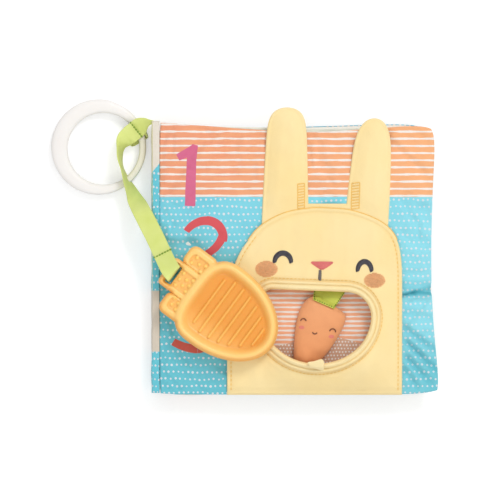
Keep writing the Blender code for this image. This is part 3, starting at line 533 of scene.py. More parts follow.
# %% Page, lining and spine cloths
hill_colour = screen(217, 172, 145)
lining_orange = screen(244, 176, 138)
hill_line_y, hill_height, hill_turns = -46.6 * MM, 3.0 * MM, 95.0
spine_cream_end, spine_white_start, spine_white_end = 51.6 * MM, -18.2 * MM, -52.4 * MM


def lining_print(wires, place):
    x, y, z = wires.axes(place)
    lines = wires.group(stripes, {"Coordinates": place, "Pitch": 2.6 * MM, "Line": 0.42,
                                  "Wobble": 0.2 * MM})["Mask"]
    upper = wires.mix(lines, lining_orange, cream_mark)
    spots = wires.group(dots, {"Coordinates": place, "Column": 1.8 * MM, "Row": 1.9 * MM,
                               "Radius": 0.5 * MM})["Mask"]
    lower = wires.mix(spots, hill_colour, cream_mark)
    hills = wires.math("MULTIPLY", wires.math("SINE", wires.math("MULTIPLY", x, hill_turns)),
                       hill_height)
    edge = wires.math("SUBTRACT", y, hills)
    return wires.mix(wires.band(edge, hill_line_y, hill_line_y + 0.3 * MM), upper, lower)


def spine_print(wires, place):
    x, y, z = wires.axes(place)
    cream = plain(screen(237, 228, 213))(wires, place)
    shaded_cream = plain(screen(216, 205, 188))(wires, place)
    wrapped = wires.node("ShaderNodeCombineXYZ", {0: wires.math("ADD", x, z), 1: y}).outputs[0]
    spots = wires.group(dots, {"Coordinates": wrapped, "Radius": 0.6 * MM})["Mask"]
    blue = wires.mix(spots, screen(104, 200, 216), dot_mark)
    slope = wires.math("MULTIPLY", wires.math("ADD", x, 77.3 * MM), 1.2)
    edge = wires.math("SUBTRACT", y, slope)
    upper = wires.mix(wires.band(edge, spine_cream_end, spine_cream_end + 0.4 * MM), cream, blue)
    rim = wires.math("MULTIPLY", wires.band(x, -80.1 * MM, -79.6 * MM),
                     wires.band(z, 16 * MM, 14 * MM))
    upper = wires.mix(wires.math("MULTIPLY", rim, 0.6), upper, screen(236, 228, 150))
    lower = wires.mix(wires.band(y, spine_white_end, spine_white_end + 0.4 * MM), shaded_cream, blue)
    return wires.mix(wires.band(y, spine_white_start, spine_white_start + 0.4 * MM), upper, lower)


lining_cloth = cloth("lining_cloth", lining_print)
spine_cloth = cloth("spine_cloth", spine_print)
back_cloth = cloth("back_cloth", dotted(screen(112, 200, 224), cream_mark))
green_page = cloth("page_cloth_green", dotted(screen(170, 214, 160), cream_mark, radius=0.8 * MM))
cream_page = cloth("page_cloth_cream", striped(screen(248, 243, 232), screen(150, 214, 228),
                                               pitch=8 * MM, line=0.12))
orange_page = cloth("page_cloth_orange", dotted(screen(240, 178, 126), cream_mark,
                                                column=4.2 * MM, row=5 * MM, radius=0.9 * MM))


def pressed(ground, second, shade):
    """Plain cloth with painted shade where the piece's "fold" attribute marks a stitched groove."""
    def prints(wires, place):
        fold = wires.node("ShaderNodeAttribute", attribute_name="fold").outputs["Fac"]
        return wires.mix(fold, plain(ground, second)(wires, place), shade)
    return prints


# The third colour of each is painted shade for the stitched grooves of the rabbit and the binding.
rabbit_cloth = cloth("rabbit_cloth", pressed(screen(252, 229, 172), screen(251, 223, 158),
                                             screen(238, 194, 112)), thread=0.30 * MM, sheen=0.2)
binding_cloth = cloth("binding_cloth", pressed(screen(254, 234, 182), screen(253, 228, 168),
                                               screen(240, 194, 108)), thread=0.30 * MM, sheen=0.2)

# %% Carrot cloth with printed cheeks
cheek_places = ((3.6, -38.4), (20.2, -43.5))


def carrot_print(wires, place):
    x, y, z = wires.axes(place)
    base = wires.mix(wires.band(y, -60 * MM, -26 * MM), screen(240, 166, 114), screen(236, 154, 98))
    for centre_x, centre_y in cheek_places:
        off_x = wires.math("SUBTRACT", x, centre_x * MM)
        off_y = wires.math("MULTIPLY", wires.math("SUBTRACT", y, centre_y * MM), 1.5)
        gap = wires.math("SQRT", wires.math("ADD", wires.math("MULTIPLY", off_x, off_x),
                                            wires.math("MULTIPLY", off_y, off_y)))
        base = wires.mix(wires.band(gap, 1.3 * MM, 1.8 * MM), base, screen(232, 132, 116))
    return base


carrot_cloth = cloth("carrot_cloth", carrot_print, thread=0.26 * MM, sheen=0.3)


# %% [markdown]
# ## Ribbon, thread, wadding and film
#
# Ribbon is grosgrain: fine ribs run across it, so its material follows the ribbon's own map.
# Thread is glossy and twisted, wadding is white fluff, and the crinkle film is thin clear plastic.

# %% Ribbon material
def ribbon_material(name, colour, light):
    made, wires, shader = new_material(name, 0.6, 0.15)
    map_place = wires.node("ShaderNodeUVMap", uv_map="cloth").outputs[0]
    place = wires.node("ShaderNodeTexCoord").outputs["Object"]
    across, along, z = wires.axes(map_place)
    ribs = wires.math("SINE", wires.math("MULTIPLY", along, math.tau / (0.55 * MM)))
    selvage = wires.band(wires.math("ABSOLUTE", wires.math("SUBTRACT", across, 0.5)), 0.44, 0.5)
    dye = wires.group(tint, {"Coordinates": place, "Amount": 0.07})
    base = wires.mix(wires.noise(place, 9 * MM, 2.0), colour, light)
    shade = wires.math("MULTIPLY_ADD", ribs, 0.025, 0.97)
    edge = wires.math("MULTIPLY_ADD", selvage, 0.05, 0.95)
    finish_surface(wires, shader, tinted(wires, base, dye["Tint"], shade, edge), ribs, 0.07 * MM)
    return made


green_ribbon = ribbon_material("green_ribbon", screen(212, 224, 112), screen(230, 238, 150))
leaf_ribbon = ribbon_material("carrot_leaf_ribbon", screen(204, 212, 72), screen(216, 222, 100))


# %% Thread, wadding and film
def thread_material(name, colour, roughness=0.5, glints=0.22):
    made, wires, shader = new_material(name, roughness, 0.1)
    place = wires.node("ShaderNodeTexCoord").outputs["Object"]
    dye = wires.group(tint, {"Coordinates": place, "Patch": 1.2 * MM, "Amount": glints})
    twist = wires.noise(place, 0.16 * MM, 2.0)
    ground = wires.mix(twist, colour, tuple(c * 0.82 for c in colour[:3]) + (1.0,))
    finish_surface(wires, shader, tinted(wires, ground, dye["Tint"]), twist, 0.05 * MM)
    return made


dark_thread = thread_material("eye_thread", screen(64, 61, 70), 0.3, 0.9)
red_thread = thread_material("nose_thread", screen(224, 116, 112), 0.45, 0.3)
grey_thread = thread_material("mouth_thread", screen(116, 108, 104), 0.42, 0.5)
tan_thread = thread_material("cheek_thread", screen(244, 182, 128), 0.5, 0.35)
gold_thread = thread_material("gold_thread", screen(246, 200, 108))
green_thread = thread_material("green_thread", screen(128, 160, 44))
leaf_thread = thread_material("leaf_thread", screen(98, 126, 24))
brown_thread = thread_material("brown_thread", screen(124, 70, 44))

wadding_fluff, wires, shader = new_material("wadding", 0.95, 0.2)
place = wires.node("ShaderNodeTexCoord").outputs["Object"]
fluff = wires.noise(place, 1.6 * MM, 6.0)
finish_surface(wires, shader, wires.mix(fluff, screen(226, 226, 220), screen(246, 246, 242)), fluff,
               0.8 * MM)

film, wires, shader = new_material("crinkle_film", 0.16, 0.0)
shader.inputs["Transmission Weight"].default_value = 0.6
place = wires.node("ShaderNodeTexCoord").outputs["Object"]
creases = wires.noise(place, 7 * MM, 4.0)
finish_surface(wires, shader, wires.mix(creases, screen(214, 222, 226), screen(236, 240, 242)),
               creases, 0.9 * MM)

# %% [markdown]
# ## Moulded pieces
#
# The ring is a milky, slightly see-through plastic, and the teether a soft matt rubber. Both carry a
# faint moulding texture and slow changes of tint, and light travels a little way inside them.

# %% Ring and teether materials
ring_plastic, wires, shader = new_material("ring_plastic", 0.34, 0.0)
for label, value in (("Subsurface Weight", 0.3), ("Subsurface Scale", 4 * MM),
                     ("Specular IOR Level", 0.25)):
    shader.inputs[label].default_value = value
shader.inputs["Subsurface Radius"].default_value = (1.0, 0.95, 0.9)
place = wires.node("ShaderNodeTexCoord").outputs["Object"]
x, y, z = wires.axes(place)
warm = wires.band(wires.math("MULTIPLY_ADD", y, -0.15, x), -108 * MM, -92 * MM)
milky = wires.mix(wires.noise(place, 20 * MM, 2.0), screen(233, 229, 226), screen(238, 235, 231))
beige = wires.mix(warm, screen(225, 220, 198), milky)
grain = wires.noise(place, 0.5 * MM, 3.0)
dye = wires.group(tint, {"Coordinates": place, "Amount": 0.02})
finish_surface(wires, shader, tinted(wires, beige, dye["Tint"]), grain, 0.02 * MM)

teether_rubber, wires, shader = new_material("teether_silicone", 0.42, 0.0)
for label, value in (("Subsurface Weight", 0.18), ("Subsurface Scale", 2 * MM),
                     ("Specular IOR Level", 0.5)):
    shader.inputs[label].default_value = value
shader.inputs["Subsurface Radius"].default_value = (1.0, 0.7, 0.4)
place = wires.node("ShaderNodeTexCoord").outputs["Object"]
# Painted shade darkens the dish, the leaf panels and the rim on its shaded side towards orange, and a
# painted highlight lightens the ribs and dots.
painted_hollow_shade = wires.node("ShaderNodeAttribute", attribute_name="painted_hollow_shade").outputs["Fac"]
raised = wires.node("ShaderNodeAttribute", attribute_name="raised").outputs["Fac"]
rim = wires.mix(wires.noise(place, 18 * MM, 2.0), screen(249, 200, 115), screen(252, 208, 128))
rubber_with_painted_light = wires.mix(painted_hollow_shade, rim, screen(233, 158, 64))
rubber_with_painted_light = wires.mix(raised, rubber_with_painted_light, screen(253, 206, 112))
grain = wires.noise(place, 0.45 * MM, 4.0)
dye = wires.group(tint, {"Coordinates": place, "Amount": 0.035})
roughness = wires.math("MULTIPLY_ADD", grain, 0.14, 0.32)
wires.tree.links.new(roughness, shader.inputs["Roughness"])
finish_surface(wires, shader, tinted(wires, rubber_with_painted_light, dye["Tint"]), grain, 0.03 * MM)
print("materials", len(bpy.data.materials))

# %% [markdown]
# ## Mesh helpers
#
# Most pieces are cut from cloth, so they start as a flat outline. The outline is filled with small
# even triangles, each point learns how far it is from the nearest edge, and two heights per point
# make the closed sheet.


# %% Plain mesh and smooth steps
def add_mesh(name, points, faces, material):
    mesh = bpy.data.meshes.new(name)
    mesh.from_pydata(np.asarray(points).tolist(), [], faces)
    mesh.materials.append(material)
    mesh.shade_smooth()
    piece = bpy.data.objects.new(name, mesh)
    bpy.context.scene.collection.objects.link(piece)
    return piece


def smooth(share):
    share = np.clip(share, 0.0, 1.0)
    return share * share * (3 - 2 * share)


def rounded(depth, radius):
    """Height share of a rounded rim, from 0 at the edge to 1 at one radius inside."""
    return np.sqrt(1 - (1 - np.clip(depth / radius, 0.0, 1.0)) ** 2)


def ripples(x, y, size, seed, waves=16):
    """Gentle unevenness between about -1 and 1, the same on every run."""
    rng = np.random.default_rng(seed)
    total = np.zeros_like(x)
    for turn, length, phase in zip(rng.uniform(0, math.tau, waves),
                                   size * rng.uniform(0.6, 1.7, waves),
                                   rng.uniform(0, math.tau, waves)):
        total += np.sin((x * math.cos(turn) + y * math.sin(turn)) * math.tau / length + phase)
    return total * 0.7 / math.sqrt(waves)


# %% Outlines
def resample(points, spacing):
    """A closed line with points at even distances."""
    points = np.asarray(points, float)
    closed = np.vstack([points, points[:1]])
    steps = np.linalg.norm(np.diff(closed, axis=0), axis=1)
    reach = np.concatenate([[0.0], np.cumsum(steps)])
    count = max(8, round(reach[-1] / spacing))
    at = np.linspace(0, reach[-1], count, endpoint=False)
    return np.stack([np.interp(at, reach, closed[:, axis]) for axis in range(points.shape[1])], 1)


def rounded_curve(points, steps=12, closed=True):
    """A smooth line through the points."""
    points = np.asarray(points, float)
    if closed:
        ends = np.vstack([points[-1:], points, points[:2]])
    else:
        ends = np.vstack([2 * points[0] - points[1], points, 2 * points[-1] - points[-2]])
    t = np.linspace(0, 1, steps, endpoint=False)[:, None]
    made = []
    for a, b, c, d in zip(ends, ends[1:], ends[2:], ends[3:]):
        made.append(0.5 * (2 * b + (c - a) * t + (2 * a - 5 * b + 4 * c - d) * t ** 2
                           + (3 * b - a - 3 * c + d) * t ** 3))
    made = np.vstack(made)
    return made if closed else np.vstack([made, points[-1:]])


def moved_line(loop, distance):
    """A closed line moved outwards, or inwards where the distance is negative."""
    before, after = np.roll(loop, 1, axis=0), np.roll(loop, -1, axis=0)
    along = after - before
    along /= np.linalg.norm(along, axis=1)[:, None]
    x, y = loop.T
    area = (np.roll(x, 1) * y - x * np.roll(y, 1)).sum()
    side = distance * math.copysign(1.0, area)
    return loop + side * np.stack([along[:, 1], -along[:, 0]], 1)


def inside(points, loop):
    x, y = points.T
    found = np.zeros(len(points), bool)
    for (x0, y0), (x1, y1) in zip(loop, np.roll(loop, -1, axis=0)):
        if y0 != y1:
            found ^= ((y0 > y) != (y1 > y)) & (x < (x1 - x0) * (y - y0) / (y1 - y0) + x0)
    return found


def edge_distance(points, starts, ends):
    """Distance from each point to the nearest of many short lines."""
    span = ends - starts
    length = np.maximum((span ** 2).sum(1), 1e-18)
    nearest = np.empty(len(points))
    for first in range(0, len(points), 3000):
        offset = points[first:first + 3000, None] - starts
        share = np.clip((offset * span).sum(2) / length, 0, 1)
        gap = ((offset - share[..., None] * span) ** 2).sum(2)
        nearest[first:first + 3000] = np.sqrt(gap.min(1))
    return nearest


def loop_distance(points, loop):
    return edge_distance(points, loop, np.roll(loop, -1, axis=0))


# %% Filling an outline with triangles
def filled(coords, edges, keep):
    """Points and anticlockwise triangles of the part of the plane that keep says is cloth."""
    made = delaunay_2d_cdt([Vector(p) for p in (coords / MM).tolist()], edges, [], 0, 1e-5)
    points = np.array([tuple(p) for p in made[0]]) * MM
    triangles = np.array([face for face in made[2] if len(face) == 3])
    a, b, c = (points[triangles[:, k]] for k in range(3))
    turn = (b - a)[:, 0] * (c - a)[:, 1] - (b - a)[:, 1] * (c - a)[:, 0]
    triangles = np.where((turn < 0)[:, None], triangles[:, ::-1], triangles)
    triangles = triangles[(np.abs(turn) > 1e-14) & keep((a + b + c) / 3)]
    return points, triangles


def rim_edges(triangles):
    """Edges that only one triangle has, in that triangle's direction."""
    pairs = np.vstack([triangles[:, [0, 1]], triangles[:, [1, 2]], triangles[:, [2, 0]]])
    known = {(int(a), int(b)) for a, b in pairs}
    return np.array([(a, b) for a, b in pairs if (int(b), int(a)) not in known])


def cut_cloth(outlines, cell, holes=(), rows=(0.25 * MM, 0.7 * MM)):
    """Fill outlines that may overlap, less the holes: points, triangles and depth from the edge."""
    loops = list(outlines) + list(holes)
    coords, edges, first = np.vstack(loops), [], 0
    for loop in loops:
        count = len(loop)
        edges += [(first + k, first + (k + 1) % count) for k in range(count)]
        first += count

    def keep(points):
        kept = np.zeros(len(points), bool)
        for loop in outlines:
            kept |= inside(points, loop)
        for loop in holes:
            kept &= ~inside(points, loop)
        return kept

    points, triangles = filled(coords, edges, keep)
    rim = rim_edges(triangles)
    starts, ends = points[rim[:, 0]], points[rim[:, 1]]
    more = []
    for row in rows:
        for index, loop in enumerate(loops):
            sign = -1 if index < len(outlines) else 1
            spots = moved_line(loop, sign * row)
            spots = spots[keep(spots)]
            more.append(spots[edge_distance(spots, starts, ends) > 0.85 * row])
    low, high = coords.min(0), coords.max(0)
    xs = np.arange(low[0], high[0], cell)
    ys = np.arange(low[1], high[1], cell * math.sqrt(3) / 2)
    grid_x, grid_y = np.meshgrid(xs, ys)
    grid_x = grid_x + np.where(np.arange(len(ys)) % 2, cell / 2, 0.0)[:, None]
    grid = np.stack([grid_x.ravel(), grid_y.ravel()], 1)
    grid = grid[keep(grid)]
    clear = max(rows, default=0.0) + 0.55 * cell
    more.append(grid[edge_distance(grid, starts, ends) > clear])
    points, triangles = filled(np.vstack([coords] + more), edges, keep)
    return points, triangles, edge_distance(points, starts, ends)


def closed_sheet(name, points, triangles, low, high, material):
    """The filled outline as a closed sheet between two heights at every point."""
    count = len(points)
    both = np.vstack([np.column_stack([points, high]), np.column_stack([points, low])])
    rim = rim_edges(triangles)
    faces = triangles.tolist() + (triangles[:, ::-1] + count).tolist()
    faces += [[int(a) + count, int(b) + count, int(b), int(a)] for a, b in rim]
    used = np.unique(np.concatenate([np.ravel(triangles), np.ravel(triangles) + count]))
    number = np.zeros(2 * count, int)
    number[used] = np.arange(len(used))
    return add_mesh(name, both[used], [[int(number[v]) for v in face] for face in faces], material)


# %% Sweeping a section along a line
def mark_points(piece, label, values):
    """Give every point of a piece a value that its material reads."""
    made = piece.data.attributes.new(label, "FLOAT", "POINT")
    made.data.foreach_set("value", np.asarray(values, np.float32))


def sweep(name, path, across, up, section, material, closed=False, uv_width=None):
    """A section carried along a line; across and up are its directions at each point."""
    path, across, up = (np.asarray(values, float) for values in (path, across, up))
    section = np.asarray(section, float)
    if section.ndim == 2:
        section = np.repeat(section[None], len(path), 0)
    points = (path[:, None] + across[:, None] * section[:, :, :1] + up[:, None] * section[:, :, 1:])
    rows, sides = len(path), section.shape[1]
    faces = []
    for row in range(rows if closed else rows - 1):
        after = (row + 1) % rows
        for side in range(sides):
            other = (side + 1) % sides
            faces.append([row * sides + side, row * sides + other,
                          after * sides + other, after * sides + side])
    if not closed:
        faces.append(list(range(sides))[::-1])
        faces.append([(rows - 1) * sides + side for side in range(sides)])
    piece = add_mesh(name, points.reshape(-1, 3), faces, material)
    mesh = piece.data
    reach = np.concatenate([[0], np.cumsum(np.linalg.norm(np.diff(path, axis=0), axis=1))])
    width = uv_width or np.ptp(section[:, :, 0])
    layer = mesh.uv_layers.new(name="cloth")
    index = np.zeros(len(mesh.loops), int)
    mesh.loops.foreach_get("vertex_index", index)
    row, side = index // sides, index % sides
    uv = np.stack([section[row, side, 0] / width + 0.5, reach[row]], 1)
    layer.data.foreach_set("uv", uv.astype(np.float32).ravel())
    mesh.set_sharp_from_angle(angle=math.radians(50))
    return face_outwards(piece)


def face_outwards(piece):
    """Turn every face of a closed mesh to the outside."""
    mesh = piece.data
    mesh.calc_loop_triangles()
    corners = np.array([tuple(v.co) for v in mesh.vertices])
    triangles = np.array([tuple(t.vertices) for t in mesh.loop_triangles])
    a, b, c = (corners[triangles[:, k]] for k in range(3))
    if (a * np.cross(b, c)).sum() < 0:
        mesh.flip_normals()
    return piece


def lens(half_width, half_height, sides=16, power=0.7):
    """A rounded flat section."""
    turns = np.arange(sides) * math.tau / sides
    cos, sin = np.cos(turns), np.sin(turns)
    return np.stack([half_width * np.sign(cos) * np.abs(cos) ** power,
                     half_height * np.sign(sin) * np.abs(sin) ** power], 1)


# %% [markdown]
# ## Thread by thread
#
# Stitches follow a path and embroidery fills a shape with threads, so both are made by Geometry
# Nodes. One tree lays a short capsule at every stitch of a line, and the other turns every line into
# a thread.


# %% Geometry Nodes trees
def geometry_tree(name, inputs):
    """An empty geometry tree with a geometry in and out and named number inputs."""
    tree = bpy.data.node_groups.new(name, "GeometryNodeTree")
    tree.interface.new_socket("Geometry", in_out="INPUT", socket_type="NodeSocketGeometry")
    tree.interface.new_socket("Geometry", in_out="OUTPUT", socket_type="NodeSocketGeometry")
    for label, (kind, value) in inputs.items():
        socket = tree.interface.new_socket(label, in_out="INPUT", socket_type=kind)
        if value is not None:
            socket.default_value = value
    wires = Wires(tree)
    return tree, wires, wires.node("NodeGroupInput").outputs, wires.node("NodeGroupOutput").inputs


NUMBER, WHOLE, FINISH = "NodeSocketFloat", "NodeSocketInt", "NodeSocketMaterial"
stitch_tree, wires, given, result = geometry_tree(
    "row of stitches", {"Pitch": (NUMBER, 2.6 * MM), "Length": (NUMBER, 1.9 * MM),
                        "Thickness": (NUMBER, 0.45 * MM), "Unevenness": (NUMBER, 0.12),
                        "Seed": (WHOLE, 3), "Material": (FINISH, None)})
line = wires.node("GeometryNodeMeshToCurve", {"Mesh": given["Geometry"]}).outputs[0]
spaced = wires.node("GeometryNodeResampleCurve", {"Curve": line, "Length": given["Pitch"]},
                    mode="LENGTH").outputs[0]
capsule = wires.node("GeometryNodeMeshUVSphere", {"Segments": 8, "Rings": 6, "Radius": 0.5})
size = wires.node("ShaderNodeCombineXYZ", {0: given["Length"], 1: given["Thickness"],
                                           2: given["Thickness"]}).outputs[0]
shaped = wires.node("GeometryNodeTransform", {"Geometry": capsule.outputs[0], "Scale": size})
tangent = wires.node("GeometryNodeInputTangent").outputs[0]
turned = wires.node("FunctionNodeAlignRotationToVector", {"Vector": tangent}, axis="X").outputs[0]
low = wires.math("SUBTRACT", 1.0, given["Unevenness"])
high = wires.math("ADD", 1.0, given["Unevenness"])
chance = wires.node("FunctionNodeRandomValue", {2: low, 3: high, "Seed": given["Seed"]},
                    data_type="FLOAT").outputs[1]
placed = wires.node("GeometryNodeInstanceOnPoints",
                    {"Points": spaced, "Instance": shaped.outputs[0], "Rotation": turned,
                     "Scale": chance}).outputs[0]
real = wires.node("GeometryNodeRealizeInstances", {0: placed}).outputs[0]
smooth_shade = wires.node("GeometryNodeSetShadeSmooth", {"Geometry": real}).outputs[0]
dressed = wires.node("GeometryNodeSetMaterial", {"Geometry": smooth_shade,
                                                 "Material": given["Material"]}).outputs[0]
put(wires, dressed, result[0])

thread_tree, wires, given, result = geometry_tree(
    "threads on lines", {"Thickness": (NUMBER, 0.4 * MM), "Sides": (WHOLE, 6),
                         "Unevenness": (NUMBER, 0.1), "Seed": (WHOLE, 5),
                         "Material": (FINISH, None)})
line = wires.node("GeometryNodeMeshToCurve", {"Mesh": given["Geometry"]}).outputs[0]
low = wires.math("SUBTRACT", 1.0, given["Unevenness"])
high = wires.math("ADD", 1.0, given["Unevenness"])
chance = wires.node("FunctionNodeRandomValue", {2: low, 3: high, "Seed": given["Seed"]},
                    data_type="FLOAT").outputs[1]
radius = wires.math("MULTIPLY", wires.math("MULTIPLY", given["Thickness"], 0.5), chance)
profile = wires.node("GeometryNodeCurvePrimitiveCircle", {"Resolution": given["Sides"],
                                                          "Radius": radius}, mode="RADIUS")
sized = wires.node("GeometryNodeCurveToMesh", {"Curve": line, "Fill Caps": True})
circle = wires.node("GeometryNodeCurvePrimitiveCircle", {"Resolution": given["Sides"]},
                    mode="RADIUS")
half = wires.math("MULTIPLY", given["Thickness"], 0.5)
put(wires, half, circle.inputs["Radius"])
put(wires, circle.outputs[0], sized.inputs["Profile Curve"])
wires.tree.nodes.remove(profile)
varied = wires.node("GeometryNodeSetCurveRadius", {"Curve": line, "Radius": chance}).outputs[0]
put(wires, varied, sized.inputs["Curve"])
real = wires.node("GeometryNodeRealizeInstances", {0: sized.outputs[0]}).outputs[0]
smooth_shade = wires.node("GeometryNodeSetShadeSmooth", {"Geometry": real}).outputs[0]
dressed = wires.node("GeometryNodeSetMaterial", {"Geometry": smooth_shade,
                                                 "Material": given["Material"]}).outputs[0]
put(wires, dressed, result[0])


# %% Running a tree on lines
def grow(name, lines, tree, material, closed=False, **values):
    """Run a tree over lines of points and keep the result as one plain mesh."""
    points, edges = [], []
    for line in lines:
        first = len(points)
        points += [tuple(p) for p in np.asarray(line)]
        edges += [(k, k + 1) for k in range(first, len(points) - 1)]
        if closed:
            edges.append((len(points) - 1, first))
    mesh = bpy.data.meshes.new(name + "_lines")
    mesh.from_pydata(points, edges, [])
    guide = bpy.data.objects.new(name + "_lines", mesh)
    bpy.context.scene.collection.objects.link(guide)
    step = guide.modifiers.new("threads", "NODES")
    step.node_group = tree
    sockets = {item.name: item.identifier for item in tree.interface.items_tree
               if item.item_type == "SOCKET" and item.in_out == "INPUT"}
    for label, value in {**values, "Material": material}.items():
        step[sockets[label]] = value
    evaluated = guide.evaluated_get(bpy.context.evaluated_depsgraph_get())
    made = bpy.data.meshes.new_from_object(evaluated)
    made.name = name
    if not made.materials:
        made.materials.append(material)
    piece = bpy.data.objects.new(name, made)
    bpy.context.scene.collection.objects.link(piece)
    bpy.data.objects.remove(guide)
    return piece


# %% [markdown]
# ## The padded pages
#
# A page is two cloths sewn together round the edge, with wadding between, so it is thickest in the
# middle and falls to the seam all round. The three pages lie on each other, and each has its own
# outline, as the real ones have.

# %% Page sizes
cloth_gap = 0.3 * MM
page_thickness = 6.2 * MM
edge_half = 0.75 * MM
crown_reach = 26 * MM
page_step = page_thickness + cloth_gap
cover_top_z = 2 * page_step + page_thickness
corner_cut = 3.5 * MM
square_corner = 0.7
page_middle_y = -0.3 * MM
sag_x, left_reach, right_reach = 10 * MM, 90 * MM, 75 * MM
notch_y, notch_reach = -17.0 * MM, 2.4 * MM


class Page:
    """One padded page and the shape of its surfaces."""

    def __init__(self, left, right, height, base, sag=0.0, flare_top=0.0, flare_bottom=0.0, seed=1,
                 spine_pull=1.0, notch=0.0, lift=0.0, drop=0.0, hem=1.0, tilt=0.0):
        self.left, self.right = left * MM, right * MM
        self.bottom = page_middle_y - height * MM / 2
        self.top = page_middle_y + height * MM / 2
        self.middle_z = base + page_thickness / 2
        self.sag, self.flare_top, self.flare_bottom = sag * MM, flare_top * MM, flare_bottom * MM
        self.seed, self.spine_pull, self.notch = seed, spine_pull, notch * MM
        self.lift, self.drop, self.hem, self.tilt = lift * MM, drop * MM, hem, tilt / 76

    def crown(self, x, y):
        """0 at the seam and 1 well inside."""
        across = np.clip(np.minimum(x - self.left, self.right - x), 0, crown_reach) / crown_reach
        along = np.clip(np.minimum(y - self.bottom, self.top - y), 0, crown_reach) / crown_reach
        return (1 - (1 - across) ** 2.6) * (1 - (1 - along) ** 2.6)

    def half(self, x, y):
        return edge_half + (page_thickness / 2 - edge_half) * self.crown(x, y)

    def top_z(self, x, y):
        return self.middle_z + self.half(x, y)

    def place(self, x, y):
        """Round the corners, let the top edge sag and the free edge flare."""
        across = 2 * (x - self.left) / (self.right - self.left) - 1
        along = 2 * (y - self.bottom) / (self.top - self.bottom) - 1
        pull = corner_cut * np.abs(across * along) ** 10 * np.where(across > 0, 1.0, self.spine_pull)
        pull = pull * np.where((across > 0) & (along < 0), square_corner, 1.0)
        off_sag = (x - sag_x) / np.where(x < sag_x, left_reach, right_reach)
        sag = self.sag * np.maximum(0, 1 - np.abs(off_sag) ** 1.5)
        flare = np.where(along > 0, self.flare_top, self.flare_bottom)
        moved_x = x - np.copysign(pull, across) + flare * along ** 2 * np.maximum(across, 0) ** 4
        moved_x -= self.notch * np.exp(-((y - notch_y) / notch_reach) ** 2) * np.maximum(across, 0) ** 12
        lift = self.lift - sag + self.tilt * x
        moved_y = y - np.copysign(pull, along) + lift * np.maximum(along, 0) ** 4
        near_spine = smooth((-30 * MM - x) / (30 * MM))
        moved_y -= self.drop * near_spine * np.maximum(-along, 0) ** 4
        return moved_x, moved_y


back_page = Page(-77.2, 76.5, 150, 0.0, seed=11, lift=-0.9, hem=1.006, tilt=2.2)
leaf_page = Page(-79.5, 74.4, 147.5, page_step, sag=1.9, seed=12, drop=3.2, lift=2.0)
front_page = Page(-76.1, 76.5, 152, 2 * page_step, 6.2, 3.4, 5.8, seed=13, spine_pull=0.2,
                  notch=1.0, lift=1.6)
print("cover top", round(cover_top_z / MM, 2), "mm")

# %% [markdown]
# ## Letting the cloth puff up
#
# A cloth simulation blows air into each pillow while its seam is held. The cloth is cut a little
# larger than the page, so that it puckers at the seam as real padded cloth does. Only the small
# folds are kept from it, and the page's own height stays.


# %% Cloth simulation
def page_lines(low, high, cell):
    """Grid lines: extra ones near each edge, and even ones between."""
    near = np.array([0.0, 0.35, 0.9, 1.7]) * MM
    inner = np.linspace(low + 3.2 * MM, high - 3.2 * MM, round((high - low - 6.4 * MM) / cell) + 1)
    return np.concatenate([low + near, inner, high - near[::-1]])


def page_grid(page, cell):
    """Grid places of a page before its corners are rounded."""
    return np.meshgrid(page_lines(page.left, page.right, cell),
                       page_lines(page.bottom, page.top, cell))


def carried_over(values, grid_x, grid_y, new_x, new_y):
    """Values of a coarse grid on a finer one."""
    across = np.array([np.interp(new_x[0], grid_x[0], row) for row in values])
    return np.array([np.interp(new_y[:, 0], grid_y[:, 0], column) for column in across.T]).T


def grid_faces(rows, columns):
    number = np.arange(rows * columns).reshape(rows, columns)
    corners = (number[:-1, :-1], number[:-1, 1:], number[1:, 1:], number[1:, :-1])
    return np.stack([part.ravel() for part in corners], 1)


def grid_rim(rows, columns):
    """The numbers of the points round a grid, anticlockwise."""
    number = np.arange(rows * columns).reshape(rows, columns)
    return np.concatenate([number[0, :-1], number[:-1, -1], number[-1, :0:-1], number[:0:-1, 0]])


def puffed_folds(page, grid_x, grid_y, cap=0.9 * MM):
    """Height of the small folds that air and a held seam give the page, per grid place."""
    rows, columns = grid_x.shape
    count = rows * columns
    place_x, place_y = page.place(grid_x, grid_y)
    start = page.half(grid_x, grid_y) * 0.8
    rim = grid_rim(rows, columns)
    start.ravel()[rim] = 0.0
    upper = np.column_stack([place_x.ravel(), place_y.ravel(), start.ravel()])
    lower = upper * (1, 1, -1)
    lower_number = np.arange(count, 2 * count)
    lower_number[rim] = rim
    faces = grid_faces(rows, columns)
    mesh = bpy.data.meshes.new("pillow")
    mesh.from_pydata(np.vstack([upper, lower]).tolist(), [],
                     faces.tolist() + lower_number[faces[:, ::-1]].tolist())
    pillow = bpy.data.objects.new("pillow", mesh)
    bpy.context.scene.collection.objects.link(pillow)
    held = pillow.vertex_groups.new(name="seam")
    held.add([int(v) for v in rim], 1.0, "REPLACE")
    step = pillow.modifiers.new("cloth", "CLOTH")
    settings = step.settings
    settings.quality, settings.mass = 5, 0.15
    settings.tension_stiffness = settings.compression_stiffness = 12
    settings.shear_stiffness, settings.bending_stiffness = 6, 0.08
    settings.use_pressure, settings.uniform_pressure_force = True, 4.0
    settings.shrink_min = -0.035
    settings.vertex_group_mass = "seam"
    settings.effector_weights.gravity = 0.0
    scene = bpy.context.scene
    for number in range(1, 21):
        scene.frame_set(number)
    evaluated = pillow.evaluated_get(bpy.context.evaluated_depsgraph_get())
    heights = np.array([v.co.z for v in evaluated.data.vertices])[:count].reshape(rows, columns)
    scene.frame_set(1)
    bpy.data.objects.remove(pillow)
    flat = heights
    for _ in range(14):
        wide = np.pad(flat, 1, mode="edge")
        flat = (wide[:-2, 1:-1] + wide[2:, 1:-1] + wide[1:-1, :-2] + wide[1:-1, 2:]) / 4
    return cap * np.tanh((heights - flat) * 2.2 / cap)
